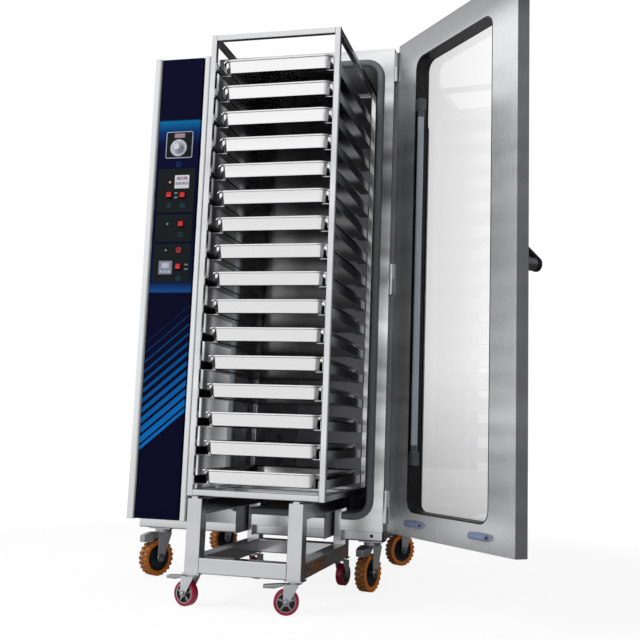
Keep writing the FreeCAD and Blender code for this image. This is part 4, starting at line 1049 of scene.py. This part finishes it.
# %% Notch plugs
plug_section = closed([(0.0045, -0.0410), (0.0052, -0.0425), (0.0095, -0.0425), (0.0108, -0.0412), (0.0108, 0.0412),
                       (0.0095, 0.0425), (0.0052, 0.0425), (0.0045, 0.0410)])
plug_y, plug_z, glued_y = -0.5085, 0.2685, -0.5177
plugs = []
for x in (0.3125, -0.0575):
    plug = turned(plug_section, along((x, plug_y, plug_z), (1, 0, 0)), 0, 36)
    bmesh.ops.bisect_plane(plug, geom=everything(plug), plane_co=(0, glued_y, 0), plane_no=(0, 1, 0),
                           clear_inner=True)
    bmesh.ops.holes_fill(plug, edges=open_edges(plug), sides=0)
    plugs.append(plug)
make_piece("notch_plugs", plugs, [plug_silicone], "door", ("seal_plugs",), swing)
print("plugs:", len(plugs))

# %% [markdown]
# ## Door lever
# The lever is a black casting that tapers from a round boss to its tip: the hull of two rounded discs. It leans 45
# degrees and turns on a steel sleeve that stands on a black rosette.

# %% Lever, sleeve and rosette
pivot = swing.inverted() @ Vector(joints["handle_turn"]["pos_m"])
lever_y, rosette_y = -0.6172, -0.563
lever_lean, lever_reach = math.radians(45), 0.150
lean = Matrix.Translation((pivot.x, lever_y, pivot.z)) @ Matrix.Rotation(lever_lean, 4, "Y")


def skin_points(shape):
    """Points of a shape that only served to place them."""
    points = [v.co.copy() for v in shape.verts]
    shape.free()
    return points


def grip_end(radius, thick, reach):
    """Points of a rounded disc, reach above the lever's pivot."""
    section = [(0, 0), (radius - 0.004, 0), (radius - 0.001, 0.0015), (radius, 0.0045), (radius, thick - 0.0045),
               (radius - 0.001, thick - 0.0015), (radius - 0.004, thick), (0, thick)]
    return skin_points(turned(section, facing(0, 0, reach), 0, 32))


lever = hull(grip_end(0.023, 0.017, 0) + grip_end(0.011, 0.014, lever_reach))
make_piece("handle_grip", [moved(lever, lean)], [handle_plastic], "handle", ("handle_lever",), swing)
boss_at = facing(pivot.x, rosette_y, pivot.z)
collar = turned(closed([(0.0201, 0.0085), (0.0330, 0.0085), (0.0335, 0.0075), (0.0335, 0.0), (0.0322, 0.0),
                        (0.0322, 0.0082), (0.0202, 0.0082)]), boss_at, 0, 40)
sleeve = turned(closed([(0.0201, 0.0080), (0.0215, 0.0080), (0.0215, 0.0525), (0.0208, 0.0538), (0.0201, 0.0538)]),
                boss_at, 1, 40)
make_piece("handle_collar", [collar, sleeve], [handle_plastic, bolt_steel], "door", (), swing)
print("lever turns at", [round(c, 3) for c in pivot], "on the shut door")

# %% [markdown]
# ## Hinge screws
# Three hinges carry the door. Each leaf is held by two low-headed screws, those of the fixed leaf on the oven and
# those of the hung leaf on the door, so they make two pieces.

# %% Hinge screws
hinge_lo, hinge_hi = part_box("hinge_leaves")
hinge_h, leaf_x, fixed_y, hung_y = 0.114, 0.4955, -0.478, -0.542
levels = (hinge_lo.z + hinge_h / 2, (hinge_lo.z + hinge_hi.z) / 2, hinge_hi.z - hinge_h / 2)
screw = [(0, 0.0012), (0.0030, 0.0010), (0.0042, 0)]
fixed, hung = [], []
for z in levels:
    for step in (0.015, 0.042):
        fixed.append(turned(screw, along((leaf_x, fixed_y, z - step), (1, 0, 0)), 0, 16))
        hung.append(turned(screw, along((leaf_x, hung_y, z + step), (1, 0, 0)), 0, 16))
print("hinge screws:", len(fixed) + len(hung))
make_piece("hinge_screws_fixed", fixed, [bolt_steel], "oven")
make_piece("hinge_screws_door", hung, [bolt_steel], "door", (), swing)

# %% [markdown]
# ## Column ends
# The two half-round uprights are hollow extrusions, closed at both ends by a moulded cap. The cap's outline is a
# half disc with two straight corners, so its hull is taken from a turned disc and the back corners.

# %% Column caps
cap_grey = plastic("cap_grey", (0.20, 0.205, 0.21), 0.5)
trim_lo, trim_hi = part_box("panel_trims")
trim_r = 0.040 / 2
cap_out, cap_in, cap_back = 0.0012, 0.0008, 0.0005
caps = []
for x in (trim_lo.x + trim_r, trim_hi.x - trim_r):
    for low, high in ((trim_lo.z - cap_out, trim_lo.z + cap_in), (trim_hi.z - cap_in, trim_hi.z + cap_out)):
        outline = turned([(0, low), (trim_r, low), (trim_r, high), (0, high)],
                         Matrix.Translation((x, trim_lo.y + trim_r, 0)), 0, 40)
        points = skin_points(outline)
        points += [(x + side * trim_r, trim_hi.y - cap_back, z) for side in (-1, 1) for z in (low, high)]
        caps.append(hull([p for p in points if p[1] <= trim_hi.y - 0.0004]))
print("caps:", len(caps))
make_piece("column_caps", caps, [cap_grey], "oven")

# %% [markdown]
# ## Casing screws
# Screws in even rows hold the back sheet and the side sheets. Each is the same turned head as on the hinges.

# %% Casing screws
case_lo, case_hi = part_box("outer_casing")
screw_rows, row_margin, edge_margin = 7, 0.06, 0.025
screws = []
for i in range(screw_rows):
    z = case_lo.z + row_margin + i * (case_hi.z - case_lo.z - 2 * row_margin) / (screw_rows - 1)
    for x in (case_lo.x + edge_margin, case_hi.x - edge_margin):
        screws.append(turned(screw, along((x, case_hi.y, z), (0, 1, 0)), 0, 14))
    for side, x in ((-1, case_lo.x), (1, case_hi.x)):
        screws.append(turned(screw, along((x, case_hi.y - edge_margin, z), (side, 0, 0)), 0, 14))
print("casing screws:", len(screws))
make_piece("casing_screws", screws, [bolt_steel], "oven")

# %% [markdown]
# ## Floor
# The floor is one white sheet that keeps the shadow of the casters. The camera and the pane show it white: in the
# steel it is pale in front of the oven and on its left, and dark under and behind it.

# %% Floor finish
floor_mat = new_material("floor_paper", (0.90, 0.90, 0.90), 0.8)
shadow_reach, white_reach = 1.6, 4.0
least_white, floor_white = 0.80, 1.1
back_way, pale_until, dark_from = (0.7, 0.7, 0), -1.2, -0.3
floor_pale, floor_dark = 0.80, 0.05
tree = floor_mat.node_tree
path = add(tree, "LightPath").outputs
looked_at = calc(tree, "MAXIMUM", path["Is Camera Ray"], path["Is Transmission Ray"])
spot = add(tree, "TexCoord").outputs["Object"]
away = add(tree, "VectorMath", {0: spot}, operation="LENGTH").outputs["Value"]
part = calc(tree, "MULTIPLY", looked_at, span(tree, away, shadow_reach, white_reach, least_white, 1.0))
white_floor = add(tree, "Emission", {"Color": white, "Strength": floor_white})
lit_floor = add(tree, "MixShader", {"Fac": part, 1: tree.nodes["Principled BSDF"], 2: white_floor})
depth = span(tree, distance_along(tree, back_way), pale_until, dark_from, floor_pale, floor_dark)
mirrored_floor = add(tree, "Emission", {"Strength": depth})
shown = add(tree, "MixShader", {"Fac": mirror_rays(tree), 1: lit_floor, 2: mirrored_floor})
feed(tree.nodes["Material Output"], {"Surface": shown})
print("nodes of the floor:", len(tree.nodes))

# %% [markdown]
# ## Laying the floor
# The sheet is far larger than the picture, so that no edge of it shows. It rides on no body of the oven.

# %% Floor sheet
floor_half = 14
bm = bmesh.new()
bmesh.ops.create_grid(bm, x_segments=2, y_segments=2, size=floor_half)
floor_mesh = bpy.data.meshes.new("floor")
bm.to_mesh(floor_mesh)
bm.free()
floor_mesh.materials.append(floor_mat)
floor = bpy.data.objects.new("floor", floor_mesh)
scene.collection.objects.link(floor)
print("floor is", 2 * floor_half, "m wide")
